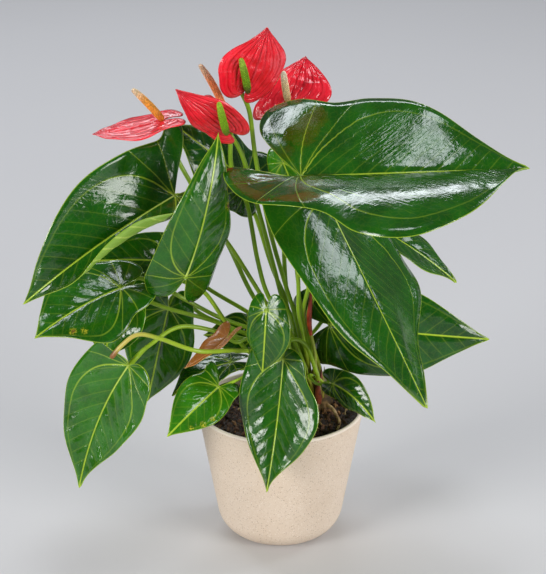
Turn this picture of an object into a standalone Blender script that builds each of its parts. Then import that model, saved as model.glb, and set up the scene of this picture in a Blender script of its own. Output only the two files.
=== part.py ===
# Potted anthurium: a plant of twenty leaves and five flowers in a small round pot.
# Sizes below are in millimetres and angles in degrees; the scene itself is in metres.
# +Z is up, the front is towards -Y, and the origin is the centre of the pot's foot.

import math
from collections import namedtuple

import bmesh
import bpy
import numpy as np

MM = 0.001

# pot
RIM_RADIUS = 67.5
POT_HEIGHT = 112.0
WALL_TAPER = 9.9  # degrees from upright
WALL_THICKNESS = 3.2
FOOT_ROUNDING = 24.0
FLOOR_THICKNESS = 4.0
# The rounded lip, from its inner edge over the top to its outer edge: (in from rim, below top).
LIP_OUTLINE = [(2.6, 0.4), (1.8, 0), (0.7, 0.2), (0, 1.2)]
LIP_DEPTH = 4.0
OUTER_BENDS = [-WALL_TAPER, -25.9, -41.9, -58, -74, -90]  # round the outer foot, degrees
INNER_BENDS = [-60, -35, -WALL_TAPER]
POT_STEPS = 28

# soil and the crown that the stalks rise from
SOIL_TOP = 107.0
SOIL_EDGE_TOP = 104.0
SOIL_SIDE_GAP = 0.6
SOIL_FLAT_RADIUS = 53.0
CROWN_CENTRE = (19.0, 14.0)
CROWN_HALF_AXES = (22.0, 18.0)
CROWN_TOP = 113.0
CROWN_FLARE = 1.06
CROWN_SIDES = 20

# stalks and blades
GAP = 0.3
BLADE_THICKNESS = 0.8
SPATHE_THICKNESS = 0.9
PETIOLE_RADIUS = 1.8
SMALL_PETIOLE_RADIUS = 1.3
FLOWER_STALK_RADIUS = 1.9
STRAIGHT_START = 14.0  # every stalk leaves the crown upright for this far
ROUTE_SAMPLES = 49
STALK_POINTS = 17
SPREAD_ROUNDS = 200
SPREAD_SPACE = 1.5  # kept between two stalks, skin to skin
SPREAD_RATE = 0.8
FREE_FROM = 0.06  # share of a stalk held still at its foot while it is spread
FREE_TO = 0.1  # and at its joint
JOINT_LEAN = 30.0  # a stalk meets its blade this far from square
SEAT_SPACE = 0.7  # from the end of a stalk to its blade, unless given here
SEAT_SPACES = {
    "leaf_01": 0.5, "leaf_03": 1.0, "leaf_05": 0.1, "leaf_06": 1.0, "leaf_07": 0.5, "leaf_08": -0.1,
    "leaf_11": 1.2, "leaf_12": 1.4, "leaf_13": 0.9, "leaf_14": 1.2, "leaf_16": 1.0,
    "flower_1": 0.2, "flower_2": 1.1, "flower_3": 1.0, "flower_5": 1.0,
}
BLADE_ROWS = 9
BLADE_COLUMNS = 2
ROW_SWEEP = 1.7  # crowds the rows towards the joint, as the veins are
SMALL_CURL = 0.001

# One half of a blade, left or right of the midrib as seen from above with the tip ahead.
# width: midrib to margin. lobe: how far the basal lobe reaches behind the joint.
# fold: upward angle at the midrib. curl: further turn out to the margin.
# droop and splay: how far the lobe hangs and turns outwards. full: fuller outline.
# belly: moves the widest place towards the tip. lobe_curl: the curl at the joint.
Half = namedtuple("Half", "width lobe fold curl droop splay full belly lobe_curl", defaults=[None])

# A blade runs from its joint with the stalk to its tip. roll turns it about that line,
# arch lifts its middle and bow bends its midrib sideways.
Blade = namedtuple("Blade", "name joint tip roll arch bow left right")

# Outline of a half blade. Behind the joint: (share of lobe, share of width).
LOBE_OUTLINE = [(0, 0), (-0.5, 0.06), (-0.86, 0.17), (-1, 0.36), (-0.88, 0.57), (-0.5, 0.77)]
# Ahead of the joint: (share of length, share of width).
BODY_OUTLINE = [(0, 0.9), (0.2, 1), (0.4, 0.96), (0.6, 0.74), (0.79, 0.4), (0.92, 0.13), (1, 0)]

LEAVES = [
    Blade("leaf_01", (15, -50, 325), (182, -70, 338), -37, 9.5, 15,
          Half(73.5, 58, 27, -15, 5, 32, 0, 0.05),
          Half(73, 52.5, 26, -30, -25, 2, 1.3, 0.2)),
    Blade("leaf_02", (34, -18, 296), (111, -95, 155), -36, 12.5, 12.5,
          Half(65, 24, -20, 5, 5, 2, 0.8, 0.1),
          Half(66, 4, 9, -18, 5, 0, -0.1, -0.05)),
    Blade("leaf_03", (40, 12, 177), (166, -10, 174), 32, 12, -2.5,
          Half(38.5, 34, 8, -17, 5, 0, 0.2, 0),
          Half(39, 27.5, 3, -21, 22, 26, 0.2, 0)),
    Blade("leaf_04", (41, -46, 152), (73, -76, 133), 38, 2, -4.5,
          Half(14, 14, 6, -17, 6, 0, 0.2, 0),
          Half(13, 13.5, -4, -27, 6, 6, 0.2, 0)),
    Blade("leaf_05", (2, -62, 181), (-11, -90, 80), 14, -5, 0,
          Half(28.5, 12, 33, -23, 5, -5, 1.1, 0.1),
          Half(30.5, 13, 8, -12, 5, 0, 0.2, 0)),
    Blade("leaf_06", (-11, -75, 227), (-14, -75, 176), 29, 4, -2.5,
          Half(19, 13, 2, -20, 0, 2, 0.3, 0),
          Half(18, 13.5, 2, -25, 9, 2, 0.3, 0)),
    Blade("leaf_07", (-48, -62, 157), (-87, -94, 130), -6, 6, 0,
          Half(17.5, 17, 6, -16, 6, 10, 0.4, 0),
          Half(19, 16.5, 7, -10, 13, 30, 0.4, 0)),
    Blade("leaf_08", (-116, -72, 180), (-158, -72, 74), 8, -4, 7.5,
          Half(33.5, 10.5, 20, -6, -5, 7, 0.2, 0),
          Half(33.5, 5.5, 12, -14, -22, -1, 0.2, 0)),
    Blade("leaf_09", (-122, -50, 235), (-185, -84, 208), 23, 1.5, 2.5,
          Half(32, 23.5, 8, -29, 5, 3, 0.9, 0),
          Half(30.5, 23, 12, -9, 5, 0, 0.9, 0)),
    Blade("leaf_10", (-88, -15, 203), (-107, -8, 118), 1, 1.5, 0,
          Half(26, 19.5, 15, -14, 1, 2, 0.2, 0.05),
          Half(28, 17.5, 14, -9, -2, 2, 0.2, 0.05)),
    Blade("leaf_11", (-88, 8, 233), (-153, -10, 240), -11, 6, 1,
          Half(26, 15.5, 5, -14, 19, -9, -0.2, -0.1),
          Half(24, 18, 9, -13, 5, 0, -0.2, -0.1)),
    Blade("leaf_12", (-71, -69, 252), (-46, -49, 359), 38, 15, -4.5,
          Half(34, 30.5, -2, -30, 15, 2, -0.6, -0.05),
          Half(30.5, 31.5, -11, -10, 0, 9, -0.1, -0.05)),
    Blade("leaf_13", (-80, -37, 305), (-192, -87, 237), 0, 20, -3,
          Half(36, 24, 10, 115, 0, 0, 0.1, 0, 50),
          Half(48, 32, 20, 25, 7, 42, 0.1, -0.05)),
    Blade("leaf_14", (-28, 26, 295), (-83, 7, 348), 21, 6, -4.5,
          Half(31, 24.5, 0, -29, 4, 11, 0.2, 0),
          Half(30, 27.5, 6, -11, -22, 30, 0.2, 0)),
    Blade("leaf_15", (76, 41, 251), (143, 37, 203), -37, 4.5, 2.5,
          Half(25.5, 24, 8, -33, 5, 0, 0.3, 0.05),
          Half(26, 24, 11, 7, 5, 0, 0.3, 0.05)),
    Blade("leaf_16", (-121, -28, 222), (-139, -36, 170), 0, 6, -1,
          Half(22, 20, 19, -6, 5, 0, 0.5, 0.05),
          Half(24, 22, 21, -7, 5, 0, 0.5, 0.05)),
    Blade("leaf_17", (2, 16, 313), (19, 28, 267), 38, 2.5, -1,
          Half(14.5, 13.5, 21, 9, 5, 2, 0.4, 0),
          Half(14.5, 13.5, 5, -9, 7, 2, 0.4, 0)),
    Blade("leaf_18", (-22, -11, 182), (-61, -22, 183), -8, 2.5, -1,
          Half(14.5, 11.5, 7, -15, 5, 0, 0.5, 0),
          Half(14, 11.5, 9, -12, 5, 0, 0.5, 0)),
    Blade("leaf_19", (-39, -32, 164), (-85, -49, 143), 38, 4, 2.5,
          Half(15, 15.5, 10, -26, 5, 2, 1, 0.05),
          Half(17, 16, 3, -15, 5, 2, 1, 0.05)),
    Blade("leaf_20", (-41, -52, 195), (-74, -68, 176), 38, 1.5, -5,
          Half(13.5, 13, 26, 8, 5, 0, -0.1, 0),
          Half(13.5, 13.5, 10, -6, -8, 13, -0.1, 0)),
]
SPATHES = [
    Blade("flower_1", (-90, -12, 356), (-142, -20, 348), 42, -1.5, -1.5,
          Half(26.5, 17, 6, 4, 13, 3, 0.3, 0.05),
          Half(26, 19.5, 1, -18, 15, 2, 0.3, 0.05)),
    Blade("flower_2", (-41, -22, 352), (-78, -36, 388), -50, 4, 2,
          Half(18.5, 20, -2, -30, 4, 2, 0, 0),
          Half(19.5, 16.5, 8, -9, 6, 2, 0, 0)),
    Blade("flower_3", (-26, -2, 378), (-10, -6, 427), 38, 1.5, 1,
          Half(27.5, 11, 7, -14, 5, -2, 0.3, 0.05),
          Half(28.5, 13, -3, -32, 5, -6, 0.3, 0.05)),
    Blade("flower_4", (6, 38, 356), (20, 63, 385), -16, 1.5, 1,
          Half(25, 21.5, 2, -7, 12, 29, -0.4, -0.05),
          Half(25.5, 14.5, 6, -22, 5, 0, 0.7, 0)),
    Blade("flower_5", (-46, 10, 359), (-64, -8, 368), 6, 1.5, -0.5,
          Half(11, 6.5, 4, -19, 5, 0, 0.2, 0),
          Half(11, 6.5, 2, -20, 5, 0, 0.2, 0)),
]

# Each stalk: its foot on the crown (x, y), then the points that it passes.
ROUTES = {
    "leaf_01": [(25, 14), [(16, -2, 191), (13, -6, 235), (8, -8, 276), (4, -15, 301), (5, -28, 313)]],
    "leaf_02": [(31, 14), [(19, 2, 184), (22, -6, 215), (27, -14, 252)]],
    "leaf_03": [(31, 25), [(21, 16, 157), (30, 24, 169), (36, 24, 177)]],
    "leaf_04": [(34, 9), [(23, -4, 140), (30, -26, 142)]],
    "leaf_05": [(31, 3), [(23, -12, 164), (15, -30, 182), (7, -48, 190)]],
    "leaf_06": [(25, 3), [(13, -12, 170), (3, -34, 201), (-5, -50, 220)]],
    "leaf_07": [(19, 3), [(4, -18, 158), (-15, -37, 163), (-32, -52, 159)]],
    "leaf_08": [(3, 9), [(-2, -16, 166), (-39, -36, 189), (-76, -48, 202), (-100, -60, 192)]],
    "leaf_09": [(10, 9), [(4, -10, 169), (-46, -22, 197), (-93, -32, 229), (-111, -36, 237)]],
    "leaf_10": [(3, 19), [(1, 8, 158), (-32, -2, 178), (-61, -2, 191), (-76, -4, 205)]],
    "leaf_11": [(7, 25), [(3, 12, 165), (-25, 12, 187), (-57, 14, 207), (-76, 18, 222)]],
    "leaf_12": [(7, 3), [(3, -11, 165), (-22, -23, 167), (-41, -34, 197), (-59, -41, 228)]],
    "leaf_13": [(10, 19), [(3, -5, 180), (-17, -14, 217), (-41, -22, 261), (-64, -26, 291)]],
    "leaf_14": [(13, 25), [(9, 16, 179), (-8, 22, 227), (-20, 30, 264)]],
    "leaf_15": [(34, 19), [(22, 12, 179), (30, 18, 205), (51, 24, 241)]],
    "leaf_16": [(0, 14), [(1, -8, 163), (-46, -25, 194), (-87, -32, 210), (-109, -30, 219)]],
    "leaf_17": [(25, 25), [(18, 22, 178), (12, 32, 223), (8, 33, 276)]],
    "leaf_18": [(7, 14), [(3, 0, 158), (-10, -6, 173)]],
    "leaf_19": [(16, 9), [(5, -14, 151), (-15, -25, 154), (-28, -28, 157)]],
    "leaf_20": [(13, 3), [(6, -17, 163), (-19, -40, 189)]],
    "flower_1": [(13, 14), [(6, 0, 173), (-20, -9, 208), (-42, -12, 258), (-65, -10, 298), (-81, -8, 329)]],
    "flower_2": [(19, 14), [(9, -4, 171), (-9, -14, 210), (-18, -12, 243), (-26, -4, 286), (-38, 3, 314)]],
    "flower_3": [(22, 19), [(15, 4, 176), (3, 8, 217), (-8, 12, 257), (-19, 14, 315), (-24, 16, 354)]],
    "flower_4": [(19, 25), [(14, 16, 179), (5, 24, 202), (2, 32, 259), (0, 40, 311)]],
    "flower_5": [(16, 19), [(11, 10, 177), (0, 16, 205), (-15, 18, 264), (-31, 18, 321)]],
    "cut_petiole": [(22, 9), [(-1, -26, 167), (-33, -60, 187), (-62, -89, 200),
        (-91, -88, 210), (-107, -90, 214), (-119, -92, 206), (-127, -92, 196)]],
    "young_shoot": [(28, 9), [(27, 8, 150), (22, 0, 186), (24, -2, 214)]],
}

# Where each spadix points, from its foot on the spathe to its tip.
SPADIX_REACH = {
    "flower_1": (-19, -4, 22),
    "flower_2": (-4, -15, 24),
    "flower_3": (-4, -11, 24),
    "flower_4": (-3, -7, 22),
    "flower_5": (-14, -7, 29),
}
SPADIX_RADIUS = 2.9
SPADIX_BEND = 1.5
# Share of the way up a spadix, and its girth there as a share of the full radius.
SPADIX_OUTLINE = [(0, 0.8), (0.15, 1), (0.5, 0.98), (0.8, 0.85), (0.94, 0.65), (1, 0.35)]
# Share of the way up the young shoot, and its radius there.
SHOOT_OUTLINE = [(0, 1.5), (0.62, 1.5), (0.75, 2.2), (0.9, 1.6), (1, 0.4)]

SMALL_LEAVES = {"leaf_04", "leaf_06", "leaf_07", "leaf_17", "leaf_18", "leaf_19", "leaf_20"}
FACING = np.array([0, -math.cos(math.radians(40)), math.sin(math.radians(40))])


def unit(v):
    v = np.asarray(v, float)
    return v / np.linalg.norm(v, axis=-1, keepdims=True)


def smooth_curve(points, count, steps=12):
    """A Catmull-Rom curve through the points, read off at count even spaces."""
    p = np.asarray(points, float)
    p = np.vstack([2 * p[0] - p[1], p, 2 * p[-1] - p[-2]])
    t = np.linspace(0, 1, steps, endpoint=False)[:, None]
    pieces = []
    for a, b, c, d in zip(p, p[1:], p[2:], p[3:]):
        square = 2 * a - 5 * b + 4 * c - d
        cube = 3 * b - a - 3 * c + d
        pieces.append(0.5 * (2 * b + (c - a) * t + square * t**2 + cube * t**3))
    curve = np.vstack(pieces + [p[-2:-1]])
    run = np.concatenate([[0], np.cumsum(np.linalg.norm(np.diff(curve, axis=0), axis=1))])
    at = np.linspace(0, run[-1], count)
    return np.stack([np.interp(at, run, curve[:, i]) for i in range(curve.shape[1])], -1)


def blade_axes(blade):
    """Length, and the along, up and side directions of a blade."""
    joint = np.array(blade.joint, float)
    along = np.array(blade.tip, float) - joint
    length = np.linalg.norm(along)
    along /= length
    up = unit(FACING - along * (FACING @ along))
    side = np.cross(along, up)
    roll = math.radians(blade.roll)
    up = up * math.cos(roll) + side * math.sin(roll)
    return joint, length, along, up, np.cross(along, up)


def half_margin(half, length, count):
    """The outline of a half blade as (along, across), from the joint round to the tip."""
    splay = math.tan(math.radians(half.splay))
    points = []
    for a, c in LOBE_OUTLINE:
        points.append((a * half.lobe + half.belly * length * c / 2, c * half.width - a * half.lobe * splay))
    for a, c in BODY_OUTLINE:
        fuller = 1 + 1.4 * half.full * a * (1 - a)
        points.append(((a + half.belly * (1 - a)) * length, c * half.width * fuller))
    return smooth_curve(points, count)


def on_blade(blade, half, hand, flat):
    """Bends flat (along, across) places of one half into the blade's real shape."""
    joint, length, along, up, side = blade_axes(blade)
    u, v = flat[..., 0], flat[..., 1]
    t = np.maximum(u, 0) / length
    rise = (4 * t * (1 - t))[..., None]
    slope = (4 * (1 - 2 * t))[..., None]
    rib = joint + np.maximum(u, 0)[..., None] * along + blade.arch * rise * up + blade.bow * rise * side
    ahead = unit(along * length + blade.arch * slope * up + blade.bow * slope * side)
    across = unit(side - ahead * (ahead @ side)[..., None])
    above = unit(np.cross(across, ahead))
    behind = np.maximum(-u, 0)
    droop = np.radians(half.droop) * np.clip(behind / max(half.lobe, 1), 0, 1.5)
    rib = rib - ahead * (behind * np.cos(droop))[..., None] - above * (behind * np.sin(droop))[..., None]
    ease = np.clip((u / length + 0.05) / 0.4, 0, 1)
    ease = ease * ease * (3 - 2 * ease)
    start = half.curl if half.lobe_curl is None else half.lobe_curl
    curl = np.radians(start + (half.curl - start) * ease)
    curl = np.where(np.abs(curl) < SMALL_CURL, SMALL_CURL, curl)
    fold = math.radians(half.fold)
    out = half.width / curl * (np.sin(fold + curl * v / half.width) - math.sin(fold))
    lift = half.width / curl * (math.cos(fold) - np.cos(fold + curl * v / half.width))
    return rib + across * (hand * out)[..., None] + above * lift[..., None]


def blade_rows(blade, rows, columns):
    """Rows of points from the left margin over the midrib to the right margin, joint to tip."""
    length = blade_axes(blade)[1]
    share = np.linspace(0, 1, rows + 1)
    rib = (length * share**ROW_SWEEP)[:, None]
    step = np.linspace(0, 1, columns + 1)[None, :]
    halves = []
    for half, hand in ((blade.left, -1), (blade.right, 1)):
        margin = half_margin(half, length, rows + 1)
        flat = np.stack([rib + (margin[:, :1] - rib) * step, margin[:, 1:] * step], -1)
        halves.append(on_blade(blade, half, hand, flat))
    return np.concatenate([halves[0][:, :0:-1], halves[1]], axis=1)


def seat_on_blade(blade, radius, thickness):
    """Where a stalk ends just under the joint, and a point before it that sets its direction."""
    joint, _, along, up, _ = blade_axes(blade)
    lean = math.radians(JOINT_LEAN)
    end = joint - up * (thickness / 2 + SEAT_SPACES.get(blade.name, SEAT_SPACE) + radius * math.sin(lean))
    return end, end - 10 * (up * math.cos(lean) + along * math.sin(lean))


def spread_apart(routes, radii):
    """Pushes stalks aside where they would touch. Both ends of each stay where they are."""
    names = list(routes)
    points = np.stack([routes[name] for name in names])
    radius = np.array([radii[name] for name in names])
    owner = np.repeat(np.arange(len(names)), points.shape[1])
    need = radius[owner][:, None] + radius[owner][None, :] + SPREAD_SPACE
    need[owner[:, None] == owner[None, :]] = 0
    place = np.linspace(0, 1, points.shape[1])
    free = np.clip(np.minimum(place / FREE_FROM, (1 - place) / FREE_TO), 0, 1)[None, :, None]
    for _ in range(SPREAD_ROUNDS):
        flat = points.reshape(-1, 3)
        square = (flat**2).sum(1)
        apart = np.sqrt(np.maximum(square[:, None] + square[None, :] - 2 * flat @ flat.T, 1e-6))
        push = np.where(apart < need, (need - apart) / apart, 0)
        move = (push.sum(1)[:, None] * flat - push @ flat) / np.maximum((push > 0).sum(1), 1)[:, None]
        move = move.reshape(points.shape) * free * SPREAD_RATE
        for _ in range(3):
            move[:, 1:-1] = (move[:, :-2] + 2 * move[:, 1:-1] + move[:, 2:]) / 4
        points = points + move
    return dict(zip(names, points))


def stalk_routes():
    """The centre line of every stalk, and its radius."""
    ends, radii = {}, {}
    for blade in LEAVES:
        radii[blade.name] = SMALL_PETIOLE_RADIUS if blade.name in SMALL_LEAVES else PETIOLE_RADIUS
        ends[blade.name] = seat_on_blade(blade, radii[blade.name], BLADE_THICKNESS)
    for blade in SPATHES:
        radii[blade.name] = FLOWER_STALK_RADIUS
        ends[blade.name] = seat_on_blade(blade, FLOWER_STALK_RADIUS, SPATHE_THICKNESS)
    radii["cut_petiole"] = PETIOLE_RADIUS
    radii["young_shoot"] = PETIOLE_RADIUS
    routes = {}
    for name, (foot, passes) in ROUTES.items():
        start = np.array([*foot, CROWN_TOP + GAP])
        points = [start, start + (0, 0, STRAIGHT_START), *passes]
        if name in ends:
            end, before = ends[name]
            points += [before, end]
        routes[name] = smooth_curve(points, ROUTE_SAMPLES)
    return spread_apart(routes, radii), radii


def material(name, colour, roughness):
    made = bpy.data.materials.new(name)
    made.use_nodes = True
    shader = made.node_tree.nodes["Principled BSDF"]
    shader.inputs["Base Color"].default_value = (*colour, 1)
    shader.inputs["Roughness"].default_value = roughness
    shader.inputs["Metallic"].default_value = 0
    return made


def add_object(name, data, finish):
    made = bpy.data.objects.new(name, data)
    data.materials.append(finish)
    bpy.data.collections["potted_anthurium"].objects.link(made)
    return made


def add_turned(name, profile, finish):
    """A solid turned about Z from an (r, z) profile that ends by running down its outer side."""
    mesh = bpy.data.meshes.new(name)
    points = [(r * MM, 0, z * MM) for r, z in profile]
    mesh.from_pydata(points, [(i, i + 1) for i in range(len(points) - 1)], [])
    made = add_object(name, mesh, finish)
    screw = made.modifiers.new("turn", "SCREW")
    screw.axis = "Z"
    screw.steps = POT_STEPS
    screw.render_steps = POT_STEPS
    screw.use_merge_vertices = True
    screw.merge_threshold = 1e-5
    screw.use_smooth_shade = True
    return made


def pot_outside(z):
    """Outer radius of the straight wall at height z."""
    return RIM_RADIUS - (POT_HEIGHT - z) * math.tan(math.radians(WALL_TAPER))


def foot_centre():
    """Distance from the axis to the centre of the arc that rounds the foot."""
    return pot_outside(FOOT_ROUNDING) - FOOT_ROUNDING / math.cos(math.radians(WALL_TAPER))


def round_foot(bends, radius, lowest):
    """(r, z) points on an arc about the foot's centre, none lower than lowest."""
    angles = [math.radians(bend) for bend in bends]
    across = [foot_centre() + radius * math.cos(angle) for angle in angles]
    return [(r, max(FOOT_ROUNDING + radius * math.sin(angle), lowest)) for r, angle in zip(across, angles)]


def add_pot(finish):
    across = WALL_THICKNESS / math.cos(math.radians(WALL_TAPER))
    inner = round_foot(INNER_BENDS, FOOT_ROUNDING - WALL_THICKNESS, FLOOR_THICKNESS)
    lip_start = POT_HEIGHT - LIP_DEPTH
    profile = [(0, FLOOR_THICKNESS), *inner, (pot_outside(lip_start) - across, lip_start)]
    profile += [(RIM_RADIUS - inwards, POT_HEIGHT - down) for inwards, down in LIP_OUTLINE]
    profile += [*round_foot(OUTER_BENDS, FOOT_ROUNDING, 0), (0, 0)]
    return add_turned("pot", profile, finish)


def add_soil(finish):
    across = WALL_THICKNESS / math.cos(math.radians(WALL_TAPER)) + SOIL_SIDE_GAP
    edge = (pot_outside(SOIL_EDGE_TOP) - across, SOIL_EDGE_TOP)
    low = FLOOR_THICKNESS + GAP
    side = round_foot(reversed(INNER_BENDS), FOOT_ROUNDING - WALL_THICKNESS - SOIL_SIDE_GAP, low)
    return add_turned("soil", [(0, SOIL_TOP), (SOIL_FLAT_RADIUS, SOIL_TOP), edge, *side, (0, low)], finish)


def add_crown(finish):
    mesh = bpy.data.meshes.new("crown")
    shape = bmesh.new()
    low = SOIL_TOP + GAP
    bmesh.ops.create_cone(
        shape, cap_ends=True, segments=CROWN_SIDES, radius1=CROWN_FLARE, radius2=1, depth=1
    )
    for vert in shape.verts:
        vert.co.x = (CROWN_CENTRE[0] + vert.co.x * CROWN_HALF_AXES[0]) * MM
        vert.co.y = (CROWN_CENTRE[1] + vert.co.y * CROWN_HALF_AXES[1]) * MM
        vert.co.z = (low + (vert.co.z + 0.5) * (CROWN_TOP - low)) * MM
    shape.to_mesh(mesh)
    shape.free()
    return add_object("crown", mesh, finish)


def add_blade(blade, name, thickness, finish):
    """A loft of rows from joint to tip, given its thickness by a Solidify."""
    rows = blade_rows(blade, BLADE_ROWS, BLADE_COLUMNS)
    inner = rows[1:-1]
    count, width = inner.shape[:2]
    points = [rows[0, 0], rows[-1, 0], *inner.reshape(-1, 3)]
    index = np.arange(count * width).reshape(count, width) + 2
    faces = []
    for j in range(width - 1):
        faces.append((0, index[0, j], index[0, j + 1]))
        for i in range(count - 1):
            faces.append((index[i, j], index[i + 1, j], index[i + 1, j + 1], index[i, j + 1]))
        faces.append((index[-1, j], 1, index[-1, j + 1]))
    mesh = bpy.data.meshes.new(name)
    mesh.from_pydata([tuple(p * MM) for p in points], [], [tuple(map(int, face)) for face in faces])
    mesh.shade_smooth()
    made = add_object(name, mesh, finish)
    solid = made.modifiers.new("thickness", "SOLIDIFY")
    solid.thickness = thickness * MM
    solid.offset = 0
    solid.use_even_offset = False
    return made


def add_tube(name, points, radii, finish):
    curve = bpy.data.curves.new(name, "CURVE")
    curve.dimensions = "3D"
    curve.use_fill_caps = True
    curve.bevel_depth = MM
    curve.bevel_resolution = 1
    spline = curve.splines.new("POLY")
    spline.points.add(len(points) - 1)
    for point, place, radius in zip(spline.points, points, radii):
        point.co = (*(place * MM), 1)
        point.radius = radius
    return add_object(name, curve, finish)


def add_stalk(name, route, radius, finish):
    picks = np.linspace(0, len(route) - 1, STALK_POINTS).round().astype(int)
    return add_tube(name, route[picks], [radius] * STALK_POINTS, finish)


def add_spadix(blade, finish):
    joint, _, _, up, _ = blade_axes(blade)
    reach = np.array(SPADIX_REACH[blade.name], float)
    lean = math.acos(float(unit(reach) @ up))
    shares, girths = np.transpose(SPADIX_OUTLINE) * [[1], [SPADIX_RADIUS]]
    foot = joint + up * (SPATHE_THICKNESS / 2 + GAP + girths[0] * math.sin(lean))
    bend = np.outer(4 * shares * (1 - shares) * SPADIX_BEND, up)
    return add_tube(f"{blade.name}_spadix", foot + np.outer(shares, reach) + bend, girths, finish)


def add_young_shoot(route, finish):
    """A thin stalk whose end is wrapped in a pointed sheath."""
    picks = np.linspace(0, len(route) - 1, STALK_POINTS).round().astype(int)
    shares = np.linspace(0, 1, STALK_POINTS)
    girths = np.interp(shares, *np.transpose(SHOOT_OUTLINE))
    return add_tube("young_shoot", route[picks], girths, finish)


def main():
    for old in list(bpy.data.objects):
        bpy.data.objects.remove(old)
    collection = bpy.data.collections.new("potted_anthurium")
    bpy.context.scene.collection.children.link(collection)

    routes, radii = stalk_routes()
    leaf_green = material("leaf", (0.03, 0.14, 0.02), 0.3)
    stalk_green = material("stalk", (0.27, 0.4, 0.06), 0.4)
    spathe_red = material("spathe", (0.65, 0.01, 0.03), 0.25)
    spadix_cream = material("spadix", (0.8, 0.5, 0.2), 0.6)

    add_pot(material("pot", (0.72, 0.62, 0.5), 0.7))
    add_soil(material("soil", (0.05, 0.03, 0.02), 0.95))
    add_crown(material("crown", (0.2, 0.14, 0.06), 0.8))
    for blade in LEAVES:
        add_blade(blade, f"{blade.name}_blade", BLADE_THICKNESS, leaf_green)
        add_stalk(f"{blade.name}_petiole", routes[blade.name], radii[blade.name], stalk_green)
    for blade in SPATHES:
        add_blade(blade, f"{blade.name}_spathe", SPATHE_THICKNESS, spathe_red)
        add_spadix(blade, spadix_cream)
        add_stalk(f"{blade.name}_stalk", routes[blade.name], radii[blade.name], stalk_green)
    add_stalk("cut_petiole", routes["cut_petiole"], radii["cut_petiole"], stalk_green)
    add_young_shoot(routes["young_shoot"], material("sheath", (0.35, 0.04, 0.02), 0.5))


main()
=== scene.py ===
import math
from collections import namedtuple
from functools import partialmethod

import bpy
import numpy as np
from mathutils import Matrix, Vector


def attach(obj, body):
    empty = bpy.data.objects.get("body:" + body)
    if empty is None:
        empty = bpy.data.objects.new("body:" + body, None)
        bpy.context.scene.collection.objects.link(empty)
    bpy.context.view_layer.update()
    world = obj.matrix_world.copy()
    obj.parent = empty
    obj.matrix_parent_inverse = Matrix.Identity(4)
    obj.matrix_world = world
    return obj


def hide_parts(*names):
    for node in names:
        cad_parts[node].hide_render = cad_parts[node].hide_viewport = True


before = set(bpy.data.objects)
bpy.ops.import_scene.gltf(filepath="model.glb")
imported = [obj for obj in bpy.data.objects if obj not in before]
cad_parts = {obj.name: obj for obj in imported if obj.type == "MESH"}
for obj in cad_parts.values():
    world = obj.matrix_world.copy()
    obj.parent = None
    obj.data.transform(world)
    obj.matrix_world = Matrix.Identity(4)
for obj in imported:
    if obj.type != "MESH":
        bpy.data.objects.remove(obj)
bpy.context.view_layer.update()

# A flowering anthurium in a small cream pot. Tables and sizes are in mm and degrees,
# the scene is in metres. +Z is up and the plant faces -Y.
mm = 0.001
gap = 0.3
bladeThickness = 0.8
spatheThickness = 0.9

# One half of a blade: midrib to margin, reach of the basal lobe, fold at the midrib, curl out to
# the margin, hang and turn of the lobe, fuller outline, widest place shifted, curl at the joint.
Half = namedtuple("Half", "width lobe fold curl droop splay full belly lobeCurl", defaults=[None])
Blade = namedtuple("Blade", "name joint tip roll arch bow left right")

lobeOutline = [(0, 0), (-0.5, 0.06), (-0.86, 0.17), (-1, 0.36), (-0.88, 0.57), (-0.5, 0.77)]
bodyOutline = [(0, 0.9), (0.2, 1), (0.4, 0.96), (0.6, 0.74), (0.79, 0.4), (0.92, 0.13), (1, 0)]


def namedBlades(pattern, rows):
    blades = []
    for number, (joint, tip, roll, arch, bow, left, right) in enumerate(rows, 1):
        blades.append(Blade(pattern % number, joint, tip, roll, arch, bow, Half(*left), Half(*right)))
    return blades


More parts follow.
